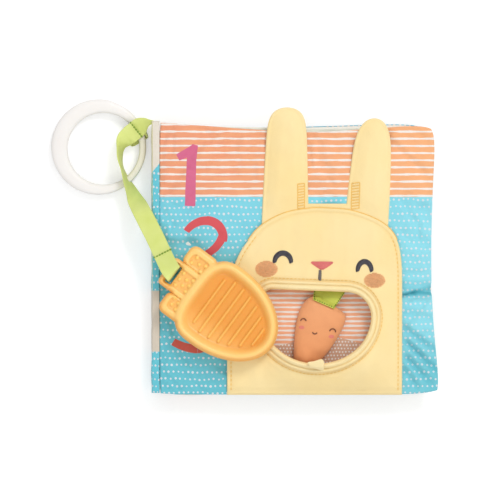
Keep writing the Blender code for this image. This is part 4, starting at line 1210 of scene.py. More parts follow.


# %% [markdown]
# ## Folds one by one
#
# The seam gathers the cloth into short puckers that fade inwards, and the cover has one sharp crease
# in from its right edge and a few slanting folds beside the rabbit. These are added to the heights.


# %% Puckers and creases
def puckers(page, x, y):
    """Short folds that run in from the seam."""
    near_x = np.minimum(x - page.left, page.right - x)
    near_y = np.minimum(y - page.bottom, page.top - y)
    folds = np.zeros_like(x)
    for near, along, seed in ((near_x, y, page.seed), (near_y, x, page.seed + 50)):
        depth = np.clip(near / (5 * MM), 0, 1) * np.exp(-np.maximum(near, 0) / (9 * MM))
        drift = ripples(along, near * 0.4, 26 * MM, seed) * 1.9
        size = 0.6 + 0.4 * ripples(along, near * 0, 40 * MM, seed + 7)
        folds += depth * size * np.sin(along * math.tau / (10.5 * MM) + drift)
    return 0.62 * MM * folds + 0.16 * MM * ripples(x, y, 34 * MM, page.seed + 90)


def groove(x, y, start, end, width, depth, lip=0.5):
    """A pressed fold along a line, with a low lip on each side; lengths in mm."""
    start, end = np.array(start) * MM, np.array(end) * MM
    span = end - start
    offset = np.stack([x, y], -1) - start
    share = (offset @ span) / (span @ span)
    side = (offset[..., 0] * span[1] - offset[..., 1] * span[0]) / np.linalg.norm(span)
    fade = smooth(share * 5 + 0.5) * smooth((1 - share) * 5 + 0.5)
    near = side / (width * MM)
    return depth * MM * fade * (lip * np.exp(-(np.abs(near) - 2) ** 2) - np.exp(-near ** 2))


cover_folds = [
    ((58.0, -21.0), (68.0, -19.2), 1.0, 2.6), ((66.0, -19.2), (82.0, -19.8), 1.0, 2.8),
    ((57.0, -17.0), (82.0, -16.2), 2.6, 1.2),
    ((60.5, -30.0), (79.0, -34.0), 2.2, 0.8), ((61.0, -38.5), (79.5, -52.0), 1.5, 1.5),
    ((61.5, -45.5), (79.5, -63.0), 1.4, 1.8), ((61.5, -54.0), (76.0, -70.0), 1.4, 1.5),
    ((61.0, -62.0), (69.0, -73.0), 1.4, 1.1), ((60.0, 16.0), (78.0, 6.0), 3.0, 0.6),
    ((62.0, 34.0), (77.0, 24.0), 3.0, 0.5), ((-44.0, -2.0), (-62.0, 10.0), 3.0, 0.7),
    ((-41.0, 12.0), (-56.0, 19.0), 3.0, 0.5), ((-74.0, -52.0), (-58.0, -60.0), 2.4, 0.6),
    ((-30.0, 36.0), (-22.0, 60.0), 3.2, 0.5),
]


def cover_creases(x, y):
    total = np.zeros_like(x)
    for start, end, width, depth in cover_folds:
        total += groove(x, y, start, end, width, depth)
    return total


def fold_shade(x, y):
    """Painted shade of each fold: dark along its line, and over the slope above the main crease."""
    total = np.zeros_like(x)
    for start, end, width, depth in cover_folds:
        total -= groove(x, y, start, end, 1.2 * width, (depth / 2.8) ** 1.5, lip=0.0) / MM
    above = y / MM + 19.3 - 0.11 * (x / MM - 60.5)
    tall = 0.9 + 4.4 * np.clip((x / MM - 62) / 13.5, 0, 1)
    painted_hollow_shade = smooth(1 - above / tall) * smooth((above + 0.6) / 0.5) * smooth((x / MM - 60) / 4)
    return np.clip(np.maximum(total, 0.9 * painted_hollow_shade), 0, 1)


# %% Making the pages
fabric = 0.5 * MM
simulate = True
page_cell, fine_cell = 2.1 * MM, 1.0 * MM
free_edge_x = 61.5 * MM


def page_cloths(page, lower_name, upper_name, lower_material, upper_material, body, creases=None):
    """The lower and upper cloth of a page, sewn together round the edge."""
    coarse_x, coarse_y = page_grid(page, page_cell)
    folds = puffed_folds(page, coarse_x, coarse_y) if simulate else np.zeros_like(coarse_x)
    pieces = []
    for name, material, sign in ((lower_name, lower_material, -1), (upper_name, upper_material, 1)):
        fine = sign > 0 and creases is not None
        grid_x, grid_y = page_grid(page, fine_cell) if fine else (coarse_x, coarse_y)
        place_x, place_y = page.place(grid_x, grid_y)
        near = np.minimum(np.minimum(grid_x - page.left, page.right - grid_x),
                          np.minimum(grid_y - page.bottom, page.top - grid_y))
        height = page.half(grid_x, grid_y) - edge_half * (1 - rounded(near, 1.1 * MM))
        change = carried_over(folds, coarse_x, coarse_y, grid_x, grid_y)
        change = change + puckers(page, grid_x - sign * 3 * MM, grid_y)
        change = change * smooth(near / (4 * MM)) - 0.25 * MM * smooth(near / (10 * MM))
        limit = 0.3 * MM
        if fine:
            change = change + creases(place_x, place_y) * smooth(near / (1.5 * MM))
            limit = limit + 1.2 * MM * smooth((place_x - free_edge_x) / (3 * MM))
        outer = height + np.minimum(change, limit)
        inner = np.maximum(outer - fabric, 0.02 * MM)
        inner = np.where(near < 0.2 * MM, 0.0, inner)
        outer = np.where(near < 0.2 * MM, 0.05 * MM, np.maximum(outer, inner + 0.1 * MM))
        squares = grid_faces(*grid_x.shape)
        triangles = np.vstack([squares[:, [0, 1, 2]], squares[:, [0, 2, 3]]])
        flat = np.column_stack([place_x.ravel(), place_y.ravel()]) * (page.hem if sign < 0 else 1)
        heights = [page.middle_z + sign * part.ravel() for part in (inner, outer)]
        low, high = heights if sign > 0 else heights[::-1]
        piece = closed_sheet(name, flat, triangles, low, high, material)
        if fine:
            # Painted shade for the folds, which the cover's print reads.
            spots = np.array([point.co for point in piece.data.vertices])
            mark_points(piece, "fold", fold_shade(spots[:, 0], spots[:, 1]))
        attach(piece, body)
        pieces.append(piece)
    return pieces


lower_cloth, upper_cloth = page_cloths(back_page, "back_cover_outer_cloth", "back_cover_inner_cloth",
                                       back_cloth, cream_page, "base")
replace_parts(lower_cloth, "back_cover_outer_fabric")
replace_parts(upper_cloth, "back_cover_inner_fabric")
leaf_lower, leaf_upper = page_cloths(leaf_page, "leaf_back_cloth", "leaf_front_cloth",
                                     orange_page, cream_page, "leaf")
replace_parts(leaf_lower, "leaf_back_fabric")
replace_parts(leaf_upper, "leaf_front_fabric")
front_lower, front_upper = page_cloths(front_page, "front_cover_inner_cloth",
                                       "front_cover_outer_cloth", green_page, cover_cloth, "cover",
                                       cover_creases)
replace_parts(front_lower, "front_cover_inner_fabric")
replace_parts(front_upper, "front_cover_outer_fabric")
print("page cloths", [len(piece.data.polygons) for piece in (lower_cloth, leaf_upper, front_upper)])


# %% [markdown]
# ## Inside the pages
#
# Between the two cloths lie a sheet of crinkle film and a pad of wadding. They are hidden, but the
# object has them, so they follow the same crown, a little smaller.

# %% Film and wadding
def page_filling(page, prefix, body, creases=None):
    margin = 9 * MM
    grid_x, grid_y = np.meshgrid(np.linspace(page.left + margin, page.right - margin, 56),
                                 np.linspace(page.bottom + margin, page.top - margin, 54))
    place_x, place_y = page.place(grid_x, grid_y)
    flat = np.column_stack([place_x.ravel(), place_y.ravel()])
    squares = grid_faces(*grid_x.shape)
    triangles = np.vstack([squares[:, [0, 1, 2]], squares[:, [0, 2, 3]]])
    inner_half = np.maximum(page.half(grid_x, grid_y) - 1.5 * MM, 0.2 * MM).ravel()
    crumple = 0.09 * MM * ripples(flat[:, 0], flat[:, 1], 9 * MM, page.seed + 30)
    film_low = page.middle_z - inner_half + crumple
    sheet = closed_sheet(prefix + "crinkle_sheet", flat, triangles, film_low,
                         film_low + 0.1 * MM, film)
    low = page.middle_z - inner_half + 0.35 * MM
    high = page.middle_z + inner_half + 0.15 * MM * ripples(flat[:, 0], flat[:, 1], 14 * MM,
                                                            page.seed + 40)
    if creases is not None:
        high = np.maximum(high - 3.0 * MM * smooth((flat[:, 0] - free_edge_x + 4 * MM) / (4 * MM)),
                          low + 0.2 * MM)
    pad = closed_sheet(prefix + "wadding_pad", flat, triangles, low, high, wadding_fluff)
    for piece, node, slot in ((sheet, "crinkle_film", "crinkle_film"), (pad, "wadding", "wadding")):
        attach(piece, body)
        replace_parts(piece, prefix + node)
    return sheet, pad


fillings = [page_filling(back_page, "back_cover_", "base"),
            page_filling(leaf_page, "leaf_", "leaf"),
            page_filling(front_page, "front_cover_", "cover", cover_creases)]

# %% [markdown]
# ## The rabbit pouch
#
# A rabbit shape of yellow cloth is sewn on the cover over a striped lining, and its D-shaped window
# shows the carrot. The cloth bulges over the carrot, its hem is turned and topstitched, and it is
# softly padded inside the stitches.

# %% Outlines of the pouch
rabbit_left, rabbit_width = -38.1 * MM, 98.1 * MM
rabbit_bottom, rabbit_height = -76.5 * MM, 106.2 * MM
turned_edge = 1.5 * MM
rabbit_shares = [
    (0.000, 0.000), (0.000, 0.240), (0.000, 0.480), (0.022, 0.620), (0.060, 0.727), (0.115, 0.813),
    (0.195, 0.905), (0.330, 0.975), (0.480, 1.000), (0.570, 1.000), (0.700, 0.990), (0.830, 0.950),
    (0.922, 0.893), (0.975, 0.811), (0.997, 0.692), (1.000, 0.520), (1.000, 0.240), (1.000, 0.000),
]
rabbit_points = [(rabbit_left + a * rabbit_width, rabbit_bottom + b * rabbit_height)
                 for a, b in rabbit_shares]
rabbit_points = [(x, y - turned_edge * smooth(y / (30 * MM))) for x, y in rabbit_points]
rabbit_line = resample(rounded_curve(rabbit_points, closed=False), 0.9 * MM)
window_left, window_right = -18.5 * MM, 42.4 * MM
window_top, window_bottom, window_corner = -18.0 * MM, -58.5 * MM, 14 * MM
tight_corner = 6 * MM
window_lean = math.radians(-2.1)


def window_line(grow, spacing=0.8 * MM):
    """The D-shaped opening, larger all round by grow."""
    half_width = (window_right - window_left) / 2 + grow
    middle = (window_right + window_left) / 2
    shoulder = window_top - window_corner
    depth = shoulder - (window_bottom - grow)
    turns = np.linspace(0, math.pi / 2, 24)
    corners = []
    for side, radius in ((1, window_corner + grow), (-1, tight_corner + grow)):
        corners.append(np.stack([
            middle + side * (half_width - radius + radius * np.cos(turns)),
            window_top + grow - radius + radius * np.sin(turns)], 1))
    right, left = corners[0], corners[1][::-1]
    bowl_turns = np.linspace(0, math.pi, 80)[1:-1]
    bowl = np.stack([middle - half_width * np.cos(bowl_turns),
                     shoulder - depth * np.sin(bowl_turns)], 1)
    offset = np.vstack([right, left, bowl]) - (middle, shoulder)
    cos, sin = math.cos(window_lean), math.sin(window_lean)
    leaning = offset @ np.array([[cos, sin], [-sin, cos]]) + (middle, shoulder)
    return resample(leaning, spacing)


# %% Heights over the carrot
bulge_height = 8.6 * MM
bulge_x = (-20 * MM, 1 * MM, 36 * MM, 59 * MM)
bulge_y = (-77 * MM, -56 * MM, -24 * MM, -2 * MM)
lining_thickness = 0.5 * MM
window_edge = window_line(0.0)


def bulge(x, y):
    total = bulge_height
    for place, (start, full, leave, end) in ((x, bulge_x), (y, bulge_y)):
        total = total * smooth((place - start) / (full - start)) * smooth((end - place)
                                                                          / (end - leave))
    return total


def lining_low(x, y):
    return front_page.top_z(x, y) + cloth_gap


def sewn_in(y):
    """How far the rabbit's lower hem is pulled down into the cover's bottom seam."""
    over_seam = y - rabbit_bottom
    return 0.95 * MM * smooth(1.6 - over_seam / (3 * MM)) + 0.7 * MM * smooth(
        1.1 - over_seam / (1.2 * MM))


def pouch_low(x, y):
    return lining_low(x, y) + lining_thickness + cloth_gap + bulge(x, y) - sewn_in(y)


def pouch_thickness(points):
    """Thickness of the rabbit cloth: turned hem, topstitched line, soft padding inside it."""
    outer = np.where(inside(points, rabbit_line), loop_distance(points, rabbit_line), 0)
    hole = loop_distance(points, window_edge)
    hem = 1.15 * MM * rounded(outer, 0.9 * MM)
    stitched = 0.45 * MM * np.exp(-((outer - 2.3 * MM) / (0.55 * MM)) ** 2)
    stitched = stitched * smooth((points[:, 1] - rabbit_bottom - 2.5 * MM) / (3 * MM))
    padding = 0.75 * MM * smooth((outer - 2.6 * MM) / (8 * MM)) * smooth((hole - 6 * MM) / (7 * MM))
    x, y = points.T
    uneven = 0.18 * MM * ripples(x, y, 24 * MM, 21) + 0.2 * MM * ripples(x * 2, y * 0.7, 17 * MM, 22)
    gathers = np.sin((hole - 7 * MM) / (0.75 * MM)) * np.exp(-((hole - 9 * MM) / (2.6 * MM)) ** 2)
    uneven += 0.16 * MM * gathers * smooth(ripples(x, y, 19 * MM, 23) + 0.2)
    uneven = uneven * smooth(outer / (6 * MM))
    near_window = 0.4 * MM * smooth(1 - (hole - 5 * MM) / (4 * MM))
    return np.maximum(hem - stitched + padding + uneven - near_window, 0.3 * MM)


def pouch_top(points):
    return pouch_low(points[:, 0], points[:, 1]) + pouch_thickness(points)


# %% Rabbit cloth and lining
points, triangles, depth = cut_cloth([rabbit_line], 0.95 * MM, [window_line(cloth_gap)],
                                     rows=(0.2 * MM, 0.55 * MM, 1.1 * MM, 1.7 * MM, 2.3 * MM,
                                           2.9 * MM))
low = pouch_low(points[:, 0], points[:, 1])
rabbit = closed_sheet("rabbit_front_cloth", points, triangles, low, low + pouch_thickness(points),
                      rabbit_cloth)
outer, hole = loop_distance(points, rabbit_line), loop_distance(points, window_edge)
# Painted shade along the stitched line inside the hem and just outside the window's binding.
painted_ditch_shade = 0.22 * np.exp(-((outer - 2.3 * MM) / (0.7 * MM)) ** 2)
painted_ditch_shade = painted_ditch_shade * smooth((points[:, 1] - rabbit_bottom - 2.5 * MM) / (3 * MM))
painted_ditch_shade = np.maximum(painted_ditch_shade, 0.35 * np.exp(-((hole - 6.0 * MM) / (0.6 * MM)) ** 2))[np.unique(triangles)]
mark_points(rabbit, "fold", np.concatenate([painted_ditch_shade, painted_ditch_shade]))
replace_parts(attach(rabbit, "cover"), "rabbit_front")

points, triangles, depth = cut_cloth([window_line(9 * MM)], 1.3 * MM)
low = lining_low(points[:, 0], points[:, 1]) + 0.12 * MM * (1 + ripples(points[:, 0], points[:, 1],
                                                                      15 * MM, 31))
lining = closed_sheet("pouch_lining_cloth", points, triangles, low, low + 0.35 * MM, lining_cloth)
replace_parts(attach(lining, "cover"), "pouch_lining")
print("rabbit faces", len(rabbit.data.polygons))

# %% [markdown]
# ## The window's binding
#
# A folded strip of the same cloth is rolled over the window's edge. It is a section carried round
# the D, plump in the middle, with small wrinkles where the strip is pulled round the corners.

# %% Binding
binding_width = 5.6 * MM
middle_line = window_line(binding_width / 2)
outwards = moved_line(middle_line, 1.0) - middle_line
count = len(middle_line)
around = np.arange(count)[:, None] * 0.8 * MM
turns = np.arange(30) * math.tau / 30
cos, sin = np.cos(turns), np.sin(turns)
side = np.sign(cos) * np.abs(cos) ** 0.8 * binding_width / 2
roll = np.exp(-((side + 1.2 * MM) / (1.3 * MM)) ** 2)
flange = 0.75 * np.exp(-((side - 1.5 * MM) / (0.85 * MM)) ** 2)
rise = np.where(sin > 0, np.abs(sin) ** 0.6 * np.maximum(roll, flange), 0.0)
# Painted shade in the low parts of the roll's section.
painted_ditch_shade = 0.6 * np.clip(1.1 - 1.7 * rise, 0, 1)
wrinkle = 1 + 0.07 * np.sin(around / (1.9 * MM) + 1.6 * ripples(around, around, 11 * MM, 41))
wrinkle = wrinkle + 0.05 * ripples(around, around, 5 * MM, 42)
overlap_start = int(np.argmin(np.linalg.norm(middle_line - np.array([17, -61]) * MM, axis=1)))
past_start = (np.arange(count) - overlap_start)[:, None] * 0.8 * MM * -1
past_start = past_start + 1.4 * side[None]
overlap = smooth(past_start / (0.5 * MM)) * smooth((10 * MM - past_start) / (6 * MM))
spots = middle_line[:, None] + outwards[:, None] * side[None, :, None]
heights = (pouch_low(spots[..., 0], spots[..., 1]) + 0.9 * MM
           + rise * (2.3 * MM * wrinkle + 1.1 * MM * overlap))
rows, sides = heights.shape
points = np.concatenate([spots, heights[..., None]], 2).reshape(-1, 3)
number = np.arange(rows * sides).reshape(rows, sides)
after, beside = np.roll(number, -1, 0), np.roll(number, -1, 1)
faces = np.stack([number, beside, np.roll(after, -1, 1), after], -1).reshape(-1, 4).tolist()
binding = face_outwards(add_mesh("window_binding_roll", points, faces, binding_cloth))
mark_points(binding, "fold", np.tile(painted_ditch_shade, rows))
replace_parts(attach(binding, "cover"), "window_binding")

tuck_corners = np.array([(6.8, -57.8), (10.6, -57.0), (14.4, -55.9), (16.0, -57.4), (16.0, -60.0),
                         (15.8, -62.6), (12.2, -61.6), (8.6, -60.2)]) * MM
tuck_line = resample(rounded_curve(tuck_corners), 0.5 * MM)
points, triangles, depth = cut_cloth([tuck_line], 0.7 * MM, rows=(0.2 * MM, 0.5 * MM))
off_roll = loop_distance(points, middle_line) * np.where(inside(points, middle_line), -1, 1)
crest = np.exp(-(np.maximum(off_roll + 1.2 * MM, 0) / (2.6 * MM)) ** 2)
low = pouch_low(*points.T) + 1.1 * MM + 2.9 * MM * crest
tuck = closed_sheet("binding_tuck", points, triangles, low,
                    low + 0.1 * MM + 0.5 * MM * rounded(depth, 0.8 * MM), binding_cloth)
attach(tuck, "cover")

# %% [markdown]
# ## Topstitching
#
# A dashed line of golden thread runs inside the rabbit's hem, and another holds the binding down.
# The stitch tree lays them along lines that follow the cloth's surface.


# %% Stitches on the pouch
def on_pouch(line, lift=0.1 * MM):
    return np.column_stack([line, pouch_top(line) + lift])


hem_line = moved_line(rabbit_line, -2.3 * MM)
upright = (hem_line[:, 1] > rabbit_bottom + 3 * MM) & (hem_line[:, 1] < 12 * MM)
hem_sides = []
for on_side in (hem_line[:, 0] < 0, hem_line[:, 0] > 0):
    side_line = hem_line[upright & on_side]
    hem_sides.append(on_pouch(side_line[np.argsort(side_line[:, 1])]))
hem_stitches = grow("rabbit_hem_stitches", hem_sides, stitch_tree, gold_thread,
                    Pitch=2.4 * MM, Length=1.7 * MM, Thickness=0.55 * MM)
crown_line = moved_line(rabbit_line, 0.15 * MM)
crown_line = crown_line[crown_line[:, 1] > 10 * MM]
crown_line = crown_line[np.argsort(crown_line[:, 0])]
crown_seam = grow("crown_seam_thread",
                  [np.column_stack([crown_line, pouch_low(*crown_line.T) + 0.25 * MM])],
                  thread_tree, gold_thread, Thickness=0.6 * MM)
binding_stitches = grow("binding_stitches", [on_pouch(window_line(binding_width + 0.7 * MM))],
                        stitch_tree, gold_thread, closed=True, Pitch=2.2 * MM, Length=1.9 * MM,
                        Thickness=0.42 * MM)
for piece in (hem_stitches, crown_seam, binding_stitches):
    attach(piece, "cover")

# %% [markdown]
# ## The face
#
# Eyes, nose, mouth and cheeks are satin stitch: threads laid side by side from edge to edge, a
# little raised in the middle. Each thread is a line, and the thread tree gives it its body.


# %% Satin stitch
def satin_rows(outline, pitch, dome, seed, surface=None):
    """Level threads that fill an outline from edge to edge."""
    surface = surface or pouch_top
    outline = resample(outline, 0.3 * MM)
    rng = np.random.default_rng(seed)
    lines = []
    for y in np.arange(outline[:, 1].min() + pitch / 2, outline[:, 1].max(), pitch):
        after = np.roll(outline, -1, axis=0)
        crossing = (outline[:, 1] > y) != (after[:, 1] > y)
        share = (y - outline[crossing, 1]) / (after[crossing, 1] - outline[crossing, 1])
        xs = outline[crossing, 0] + share * (after[crossing, 0] - outline[crossing, 0])
        if len(xs) < 2:
            continue
        start, end = xs.min() - rng.uniform(0, 0.2) * MM, xs.max() + rng.uniform(0, 0.2) * MM
        at = np.linspace(0, 1, 9)
        spots = np.column_stack([start + (end - start) * at, y + 0 * at
                                 + rng.normal(0, 0.03, 9) * MM])
        arch = dome * np.sin(at * math.pi) ** 0.6
        lines.append(np.column_stack([spots, surface(spots) + arch]))
    return lines


def satin_arch(centre_x, base_y, width, height, width_of_stroke, pitch, dome, surface=None):
    """Threads across an arched stroke whose ends point down."""
    surface = surface or pouch_top
    turns = np.linspace(0, math.pi, 400)
    middle = np.stack([centre_x + (width / 2 - width_of_stroke / 2) * np.cos(turns),
                       base_y + (height - width_of_stroke / 2) * np.sin(turns)], 1)
    reach = np.concatenate([[0], np.cumsum(np.linalg.norm(np.diff(middle, axis=0), axis=1))])
    lines = []
    for at in np.arange(0, reach[-1], pitch):
        here = np.array([np.interp(at, reach, middle[:, k]) for k in (0, 1)])
        ahead = np.array([np.interp(min(at + 0.2 * MM, reach[-1]), reach, middle[:, k])
                          for k in (0, 1)])
        behind = np.array([np.interp(max(at - 0.2 * MM, 0), reach, middle[:, k]) for k in (0, 1)])
        along = (ahead - behind) / np.linalg.norm(ahead - behind)
        normal = np.array([along[1], -along[0]])
        share = np.linspace(-0.5, 0.5, 7)
        slant = along * 0.25 * width_of_stroke
        taper = 0.55 + 0.45 * math.sin(math.pi * at / reach[-1]) ** 0.5
        spots = here + (normal * width_of_stroke * taper + slant) * share[:, None]
        arch = dome * np.cos(share * math.pi)
        lines.append(np.column_stack([spots, surface(spots) + arch]))
    return lines


def ellipse(centre_x, centre_y, width, height):
    turns = np.linspace(0, math.tau, 60, endpoint=False)
    return np.stack([centre_x + width / 2 * np.cos(turns), centre_y + height / 2 * np.sin(turns)], 1)


# %% Face pieces
nose_x, nose_y, nose_width, nose_height = 15.1 * MM, -3.9 * MM, 12.8 * MM, 4.4 * MM
nose_corners = [(-0.96, 0.70), (-0.72, 1.00), (0.0, 0.92), (0.72, 1.00), (0.96, 0.70),
                (0.42, -0.45), (0.0, -1.00), (-0.42, -0.45)]
nose_line = rounded_curve([(nose_x + a * nose_width / 2, nose_y + b * nose_height / 2)
                           for a, b in nose_corners])
mouth_line = [(14.5 * MM, -6.3 * MM), (13.5 * MM, -6.3 * MM), (13.2 * MM, -9.0 * MM),
              (13.0 * MM, -11.9 * MM), (14.4 * MM, -12.2 * MM), (14.6 * MM, -9.0 * MM)]
stitch_pitch = 0.34 * MM
face_lines = {
    "left_eye": (satin_arch(-6.8 * MM, -2.3 * MM, 12.2 * MM, 6.8 * MM, 2.9 * MM, stitch_pitch,
                            0.5 * MM), dark_thread, "eye_thread"),
    "right_eye": (satin_arch(38.9 * MM, -7.1 * MM, 10.6 * MM, 6.8 * MM, 2.8 * MM, stitch_pitch,
                             0.5 * MM), dark_thread, "eye_thread"),
    "nose": (satin_rows(nose_line, stitch_pitch, 0.45 * MM, 51), red_thread, "nose_thread"),
    "mouth_line": (satin_rows(mouth_line, stitch_pitch, 0.3 * MM, 52), grey_thread,
                   "mouth_thread"),
    "left_cheek": (satin_rows(ellipse(-16.0 * MM, -5.8 * MM, 12.4 * MM, 8.9 * MM), 0.6 * MM,
                              0.4 * MM, 53), tan_thread, "cheek_thread"),
    "right_cheek": (satin_rows(ellipse(44.4 * MM, -12.2 * MM, 11.8 * MM, 8.2 * MM), 0.6 * MM,
                               0.4 * MM, 54), tan_thread, "cheek_thread"),
}
for node, (lines, material, slot) in face_lines.items():
    piece = grow(node + "_satin", lines, thread_tree, material, Thickness=0.46 * MM, Sides=6)
    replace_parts(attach(piece, "cover"), node)
print("face threads", {node: len(lines) for node, (lines, _, _) in face_lines.items()})

# %% [markdown]
# ## The ears
#
# Each ear is one padded shape whose root lies under the head's edge.

# %% Ear shapes
ear_root_y, ear_fold_y = 18 * MM, 42 * MM
bridge_left, bridge_right = 4 * MM, 32 * MM
bridge_bottom, bridge_top = 20 * MM, 30.8 * MM
ear_base_z = cover_top_z + cloth_gap
ears = {"left": (-5.6 * MM, 26.2 * MM, 84.7 * MM, 1.2 * MM, 16.0),
        "right": (39.9 * MM, 24.6 * MM, 78.6 * MM, 4.6 * MM, 9.0)}


def ear_line(middle_x, width, tip_y, lean, tip_power):
    """Outline of an ear: sides that come together a little, and a round tip."""
    share = 1 - (1 - np.linspace(0, 1, 120)) ** 3
    y = ear_root_y + (tip_y - ear_root_y) * share
    half = width / 2 * (1 - 0.19 * share ** 1.4) * np.sqrt(np.maximum(0, 1 - share ** tip_power))
    centre = middle_x + lean * share
    right = np.stack([centre + half, y], 1)
    left = np.stack([centre - half, y], 1)
    return resample(np.vstack([right, left[-2::-1]]), 0.8 * MM)


def ear_thickness(points, depth, seed):
    """Thin where it lies under the head, plump in the middle, with a turned rim."""
    outside = np.where(inside(points, rabbit_line), -1, 1) * loop_distance(points, rabbit_line)
    free = smooth((outside + 2.0 * MM) / (13 * MM))
    plump = smooth(depth / (9 * MM))
    rim = 1.15 * MM * rounded(depth, 0.9 * MM)
    pressed = 0.3 * MM * np.exp(-((depth - 1.9 * MM) / (0.6 * MM)) ** 2)
    uneven = 0.2 * MM * ripples(points[:, 0], points[:, 1], 15 * MM, seed) * plump
    return (0.75 * MM * rounded(depth, 0.6 * MM) * (1 - free)
            + free * (rim - pressed + 1.8 * MM * plump + uneven))


ear_lines = {side: ear_line(*sizes) for side, sizes in ears.items()}
bridge_corners = np.array([(bridge_left, bridge_bottom), (bridge_right, bridge_bottom),
                           (bridge_right, bridge_top), (bridge_left, bridge_top)])
points, triangles, depth = cut_cloth([*ear_lines.values(), resample(bridge_corners, 0.8 * MM)],
                                     0.95 * MM, rows=(0.2 * MM, 0.5 * MM, 1.0 * MM, 1.6 * MM,
                                                      2.2 * MM))
crown_rim = rim_edges(triangles)
crown_starts, crown_ends = points[crown_rim[:, 0]], points[crown_rim[:, 1]]
thick = ear_thickness(points, depth, 61)
split = ear_base_z + thick * 0.32
middles = points[triangles].mean(1)
on_left = ~inside(middles, ear_lines["right"])
for side, chosen in (("left", on_left), ("right", ~on_left)):
    front = closed_sheet(f"{side}_ear_front_cloth", points, triangles[chosen], split + 0.02 * MM,
                         ear_base_z + thick, rabbit_cloth)
    back = closed_sheet(f"{side}_ear_back_cloth", points, triangles[chosen],
                        np.full(len(points), ear_base_z), split, rabbit_cloth)
    front.data.set_sharp_from_angle(angle=math.radians(60))
    fill, fill_triangles, fill_depth = cut_cloth([moved_line(ear_lines[side], -3 * MM)], 2.4 * MM)
    wad_thick = ear_thickness(fill, fill_depth + 3 * MM, 61) * 0.5
    wad_low = ear_base_z + wad_thick * 0.7
    wad = closed_sheet(f"{side}_ear_wadding_pad", fill, fill_triangles, wad_low,
                       wad_low + wad_thick * 0.5, wadding_fluff)
    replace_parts(front, f"{side}_ear_front_fabric", f"{side}_ear_base")
    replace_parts(back, f"{side}_ear_back_fabric")
    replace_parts(wad, f"{side}_ear_wadding")
    for piece in (front, back, wad):
        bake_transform(piece)
print("ear faces", int(on_left.sum()), int((~on_left).sum()))

# %% [markdown]
# ## Stitched boxes at the ears
#
# Two narrow boxes of zigzag stitches hold the ears to the cover beside the gap between them. They
# lie on the surface of the cloth that they are sewn through.


# %% Stitched boxes
def ear_top(points):
    return ear_base_z + ear_thickness(points, edge_distance(points, crown_starts, crown_ends), 61)


def zigzag_box(left, right, bottom, top, lean):
    """Two long rows and the rungs between them, on the ear's surface; lengths in mm."""
    lines = []
    rungs = round((top - bottom) / 1.55)
    for rung in range(rungs + 1):
        y = bottom + (top - bottom) * rung / rungs
        shift = lean * (y - bottom) / (top - bottom)
        at = np.linspace(0, 1, 7)
        spots = np.column_stack([left + shift + (right - left) * at, y + 0.5 * (at - 0.5)]) * MM
        lines.append(np.column_stack([spots, ear_top(spots) + 0.14 * MM
                                      - 0.2 * MM * np.abs(2 * at - 1) ** 3]))
    for x in (left, right):
        at = np.linspace(0, 1, 40)
        spots = np.column_stack([x + lean * at, bottom + (top - bottom) * at]) * MM
        lines.append(np.column_stack([spots, ear_top(spots) + 0.1 * MM]))
    return lines


boxes = {"left": zigzag_box(1.5, 5.3, 28.2, 41.9, 0.0),
         "right": zigzag_box(31.5, 35.9, 28.0, 42.4, 0.3)}
for side, lines in boxes.items():
    piece = grow(f"{side}_ear_stitch_box", lines, thread_tree, gold_thread, Thickness=0.55 * MM)
    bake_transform(piece)

# %% [markdown]
# ## The carrot in the pouch
#
# A small stuffed carrot: two cloths sewn round the edge over stuffing, hanging from a folded green
# ribbon. Its outline is drawn, and the height over the seam follows the distance from that line.

# %% Carrot
carrot_points = [(7.9, -21.9), (12.5, -21.3), (18.5, -24.2), (23.9, -27.7), (27.6, -30.8),
                 (28.4, -34.2), (25.6, -41.4), (20.6, -49.4), (15.4, -56.2), (10.5, -62.5),
                 (5.5, -67.3), (2.0, -68.2), (-0.4, -65.0), (-0.9, -58.2), (-0.5, -46.4),
                 (0.3, -37.5), (1.9, -30.5), (4.4, -25.4)]
carrot_line = resample(rounded_curve(np.array(carrot_points) * MM), 0.6 * MM)
carrot_seam_z = cover_top_z + 2 * cloth_gap + lining_thickness + 2.3 * MM


def carrot_rise(points, depth):
    """Height over the seam: round at the rim and lower towards the tip."""
    return 5.3 * MM * rounded(depth, 9.5 * MM) ** 0.9 * (0.36 + 0.64 * smooth(
        (points[:, 1] + 70 * MM) / (16 * MM)))


def carrot_seam(points):
    """Height of the seam, which dips at the tip so that it swings clear of the pouch."""
    return carrot_seam_z - 0.9 * MM * smooth((-54 * MM - points[:, 1]) / (12 * MM))


points, triangles, depth = cut_cloth([carrot_line], 0.75 * MM, rows=(0.2 * MM, 0.5 * MM, 0.9 * MM))
swell = rounded(depth, 9.5 * MM) ** 0.9
uneven = 0.18 * MM * ripples(points[:, 0], points[:, 1], 7 * MM, 71) * smooth(depth / (3 * MM))
seam_pull = 0.22 * MM * np.exp(-depth / (1.4 * MM)) * ripples(points[:, 0], points[:, 1], 3.4 * MM, 72)
seam = carrot_seam(points)
carrot_top = seam + 0.02 * MM + carrot_rise(points, depth) + uneven
carrot_top = carrot_top + seam_pull * smooth(depth / MM)
carrot_under = seam - 0.02 * MM - 2.1 * MM * swell
skin = np.minimum(0.5 * MM, 0.9 * (carrot_top - seam))
front = closed_sheet("carrot_front_cloth", points, triangles, carrot_top - skin, carrot_top,
                     carrot_cloth)
back = closed_sheet("carrot_back_cloth", points, triangles, carrot_under, carrot_under
                    + np.minimum(0.45 * MM, 0.9 * (seam - carrot_under)), carrot_cloth)
kept = points, triangles
fill, fill_triangles, fill_depth = cut_cloth([moved_line(carrot_line, -1.6 * MM)], 1.6 * MM)
fill_swell = rounded(fill_depth, 8.5 * MM)
fill_seam = carrot_seam(fill)
stuffing = closed_sheet("carrot_stuffing_pad", fill, fill_triangles, fill_seam - 1.2 * MM * fill_swell,
                        fill_seam + 0.7 * carrot_rise(fill, fill_depth) + 0.05 * MM, wadding_fluff)
